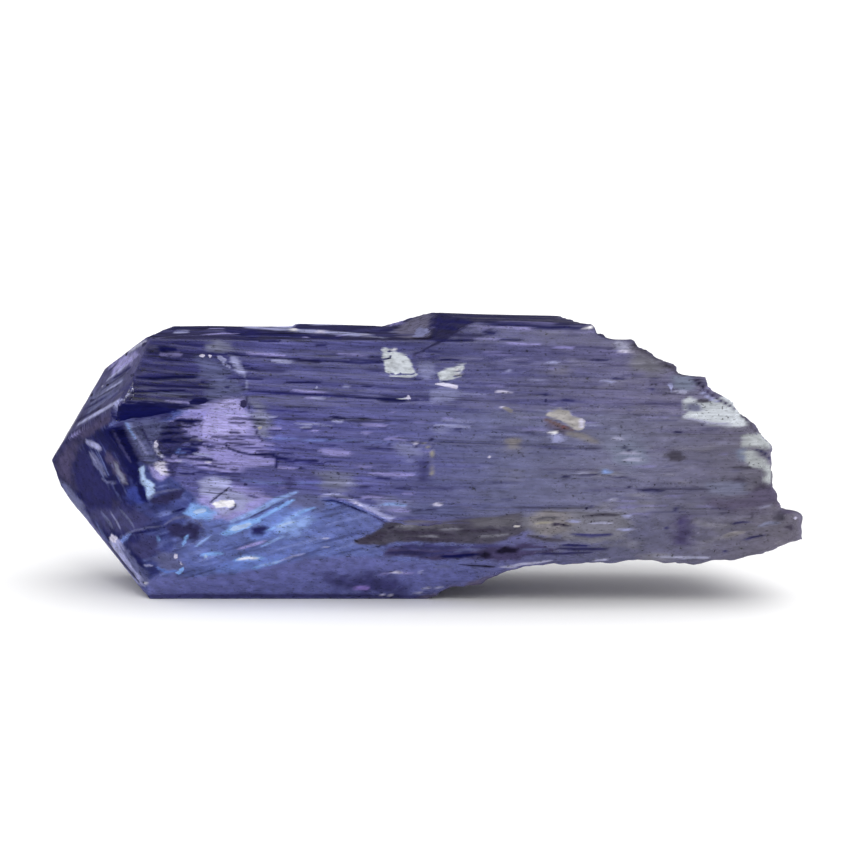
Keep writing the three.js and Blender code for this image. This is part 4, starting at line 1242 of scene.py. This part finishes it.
def as_albedo(seen, light):
    """The surface colour that shows as the seen colour once shine and glow are added."""
    clear = seen[:, 3:]
    # dividing by the light paints light into faces that get little of it and shade into faces that get
    # much, so that the stone shows its seen colour on every side
    albedo = (seen[:, :3] - SHINE - clear * np.array(GLOW)) / (light[:, None] * (1 - clear))
    least, most = ALBEDO_RANGE
    albedo = np.maximum(albedo, least)
    albedo /= np.maximum(albedo.max(axis=1, keepdims=True) / most, 1)
    return np.column_stack([albedo, clear])


def stone_object(points, quads, grain, paint):
    """The skin as an object in metres, with its paint and grain as attributes."""
    mesh = bpy.data.meshes.new("tanzanite_stone")
    mesh.from_pydata((points * MM).tolist(), [], quads.tolist())
    mesh.polygons.foreach_set("use_smooth", [True] * len(mesh.polygons))
    for name, kind, slot, values in (
        ("base_tint", "FLOAT_COLOR", "color", paint["base"]),
        ("patch_tint", "FLOAT_COLOR", "color", paint["patch"]),
        ("patch_edge", "FLOAT", "value", paint["edge"]),
        ("streaky", "FLOAT", "value", paint["streaky"]),
        ("grain", "FLOAT_VECTOR", "vector", grain),
    ):
        mesh.attributes.new(name, kind, "POINT").data.foreach_set(slot, values.ravel())
    mesh.update()
    stone = bpy.data.objects.new("tanzanite_stone", mesh)
    bpy.context.scene.collection.objects.link(stone)
    return stone


# ---------------------------------------------------------------- the material


class Graph:
    """Short ways to add nodes to a material."""

    def __init__(self, material):
        material.use_nodes = True
        self.nodes = material.node_tree.nodes
        self.links = material.node_tree.links

    def add(self, kind, inputs=(), **settings):
        node = self.nodes.new(kind)
        for name, value in settings.items():
            setattr(node, name, value)
        for slot, value in dict(inputs).items():
            if isinstance(value, bpy.types.NodeSocket):
                self.links.new(value, node.inputs[slot])
            else:
                node.inputs[slot].default_value = value
        return node

    def math(self, operation, a, b=0.0):
        return self.add("ShaderNodeMath", {0: a, 1: b}, operation=operation).outputs[0]

    def between(self, value, low, high, start=0.0, end=1.0):
        """start below low, end above high, and smooth between."""
        inputs = {"Value": value, "From Min": low, "From Max": high, "To Min": start, "To Max": end}
        node = self.add("ShaderNodeMapRange", inputs, interpolation_type="SMOOTHSTEP")
        return node.outputs["Result"]

    def mix(self, share, a, b, blend="MIX"):
        """Two colours mixed. Inputs 6 and 7 and output 2 of that node are those for colours."""
        inputs = {0: share, 6: a, 7: b}
        return self.add("ShaderNodeMix", inputs, data_type="RGBA", blend_type=blend).outputs[2]

    def noise(self, place, sizes, detail, seed, roughness):
        """Noise whose bumps have the given sizes in mm along the grain and across it."""
        scale = tuple(1 / size for size in sizes)
        start = tuple(seed * step for step in SEED_STEP)
        move = {"Vector": place, "Scale": scale, "Location": start}
        vector = self.add("ShaderNodeMapping", move).outputs[0]
        inputs = {"Vector": vector, "Scale": 1.0, "Detail": detail, "Roughness": roughness}
        return self.add("ShaderNodeTexNoise", inputs).outputs["Fac"]


def add_shades(graph, textures, rows, total=0.0):
    """The total, with what some textures do to the light added to it."""
    for name, *steps in rows:
        total = graph.math("ADD", total, graph.between(textures[name], *steps))
    return total


def stone_shade(graph, textures, streaky):
    """How much lighter or darker than its tint the stone is from place to place."""
    plain = graph.math("SUBTRACT", 1.0, streaky)
    lines = graph.math("MULTIPLY", add_shades(graph, textures, STREAKY_SHADES), streaky)
    clouds = graph.math("MULTIPLY", add_shades(graph, textures, SMOOTH_SHADES), plain)
    return add_shades(graph, textures, SHADES, graph.math("ADD", lines, clouds))


def brighten(graph, tint, light):
    """A tint made lighter or darker by a factor."""
    grey = graph.add("ShaderNodeCombineColor", {0: light, 1: light, 2: light}).outputs[0]
    return graph.mix(1.0, tint, grey, "MULTIPLY")


def tanzanite_material():
    """The painted tints and their clearness, broken up by textures along the grain."""
    material = bpy.data.materials.new("tanzanite")
    graph = Graph(material)
    painted = {
        name: graph.add("ShaderNodeAttribute", attribute_name=name).outputs
        for name in ("base_tint", "patch_tint", "patch_edge", "streaky", "grain")
    }
    base, patch = painted["base_tint"], painted["patch_tint"]
    grain = painted["grain"]["Vector"]
    textures = {name: graph.noise(grain, *row) for name, row in TEXTURES.items()}

    stray = graph.math("MULTIPLY", graph.math("SUBTRACT", textures["ragged"], 0.5), RAGGED_EDGE)
    on_patch = graph.between(graph.math("ADD", painted["patch_edge"]["Fac"], stray), *PATCH_EDGE)
    off_patch = graph.math("SUBTRACT", 1.0, on_patch)
    shade = stone_shade(graph, textures, painted["streaky"]["Fac"])
    light = graph.math("MAXIMUM", graph.math("ADD", 1.0, shade), LEAST_LIGHT)
    on_spots = graph.math("MULTIPLY", shade, PATCH_SHADE)
    body = brighten(graph, base["Color"], light)
    mottled = add_shades(graph, textures, [PATCH_MOTTLE], on_spots)
    spots = brighten(graph, patch["Color"], mottled)
    body_clear = graph.math("MULTIPLY", base["Alpha"], off_patch)
    spots_clear = graph.math("MULTIPLY", patch["Alpha"], on_patch)
    clear = graph.math("ADD", body_clear, spots_clear)
    wear = graph.between(textures["wear"], *WEAR_RANGE, *STONE_ROUGHNESS)
    rough = graph.math("SUBTRACT", wear, graph.math("MULTIPLY", clear, CLEAR_POLISH))
    bump = graph.add("ShaderNodeBump", {"Height": textures["threads"], **THREAD_BUMP})

    shader = graph.nodes["Principled BSDF"]
    shader.inputs["IOR"].default_value = STONE_IOR
    shader.inputs["Specular IOR Level"].default_value = STONE_SHINE
    graph.links.new(graph.mix(on_patch, body, spots), shader.inputs["Base Color"])
    graph.links.new(rough, shader.inputs["Roughness"])
    graph.links.new(clear, shader.inputs["Transmission Weight"])
    graph.links.new(bump.outputs[0], shader.inputs["Normal"])
    volume = graph.add("ShaderNodeVolumeAbsorption")
    volume.inputs["Color"].default_value = (*ABSORPTION_COLOUR, 1)
    volume.inputs["Density"].default_value = ABSORPTION_DENSITY
    graph.links.new(volume.outputs[0], graph.nodes["Material Output"].inputs["Volume"])
    return material


# ---------------------------------------------------------------- floor, light, camera


def pale_floor():
    bpy.ops.mesh.primitive_plane_add(size=FLOOR_SIZE)
    floor = bpy.context.object
    floor.name = "floor"
    material = bpy.data.materials.new("pale_floor")
    material.use_nodes = True
    shader = material.node_tree.nodes["Principled BSDF"]
    shader.inputs["Base Color"].default_value = (FLOOR_WHITE, FLOOR_WHITE, FLOOR_WHITE, 1)
    shader.inputs["Roughness"].default_value = FLOOR_ROUGHNESS
    shader.inputs["Specular IOR Level"].default_value = 0.0
    floor.data.materials.append(material)


def light_room():
    """A white room lit from overhead and from both sides, dim in front and behind."""
    world = bpy.data.worlds.new("room")
    bpy.context.scene.world = world
    graph = Graph(world)
    direction = graph.add("ShaderNodeTexCoord").outputs["Generated"]
    parts = graph.add("ShaderNodeSeparateXYZ", {0: direction})
    room = graph.between(parts.outputs[2], *ROOM_RISE, *ROOM_LIGHT)
    sideways = graph.math("POWER", graph.math("ABSOLUTE", parts.outputs[0]), SIDE_POWER)
    light = graph.math("ADD", room, graph.math("MULTIPLY", sideways, SIDE_LIGHT))
    lit = graph.add("ShaderNodeBackground", {"Color": (1, 1, 1, 1), "Strength": light})
    seen = graph.add("ShaderNodeBackground", {"Color": (1, 1, 1, 1), "Strength": 1.0})
    camera_ray = graph.add("ShaderNodeLightPath").outputs["Is Camera Ray"]
    mixed = graph.add("ShaderNodeMixShader", {0: camera_ray, 1: lit.outputs[0], 2: seen.outputs[0]})
    graph.links.new(mixed.outputs[0], graph.nodes["World Output"].inputs["Surface"])
    key = bpy.data.lights.new("key", "SUN")
    key.angle = KEY_SPREAD
    key.energy = KEY_POWER
    lamp = bpy.data.objects.new("key", key)
    lamp.rotation_euler = Vector(KEY_FROM).to_track_quat("Z", "Y").to_euler()
    bpy.context.scene.collection.objects.link(lamp)


def place_camera():
    """A long lens that looks straight at the front, from a little above."""
    data = bpy.data.cameras.new("display")
    data.lens = LENS
    data.sensor_width = SENSOR
    camera = bpy.data.objects.new("display", data)
    distance = LENS / SENSOR * VIEW_WIDTH * MM
    aim = Vector((0, 0, AIM_HEIGHT * MM))
    back = Vector((0, -math.cos(VIEW_ELEVATION), math.sin(VIEW_ELEVATION)))
    camera.location = aim + back * distance
    camera.rotation_euler = back.to_track_quat("Z", "Y").to_euler()
    bpy.context.scene.collection.objects.link(camera)
    bpy.context.scene.camera = camera


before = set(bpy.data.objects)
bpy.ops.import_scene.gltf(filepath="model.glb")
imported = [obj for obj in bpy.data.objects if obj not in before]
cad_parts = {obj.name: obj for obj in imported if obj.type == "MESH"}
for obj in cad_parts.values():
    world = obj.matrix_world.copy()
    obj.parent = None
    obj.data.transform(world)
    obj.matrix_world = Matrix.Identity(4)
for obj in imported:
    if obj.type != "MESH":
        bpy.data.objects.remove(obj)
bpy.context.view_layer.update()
bpy.context.scene.view_settings.view_transform = "Standard"
bpy.context.scene.cycles.caustics_refractive = False
bpy.context.scene.cycles.caustics_reflective = False
place_camera()
light_room()
pale_floor()
stone = build_crystal(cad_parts[NODE])
stone.data.materials.append(tanzanite_material())
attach(stone, "root")
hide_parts(NODE)
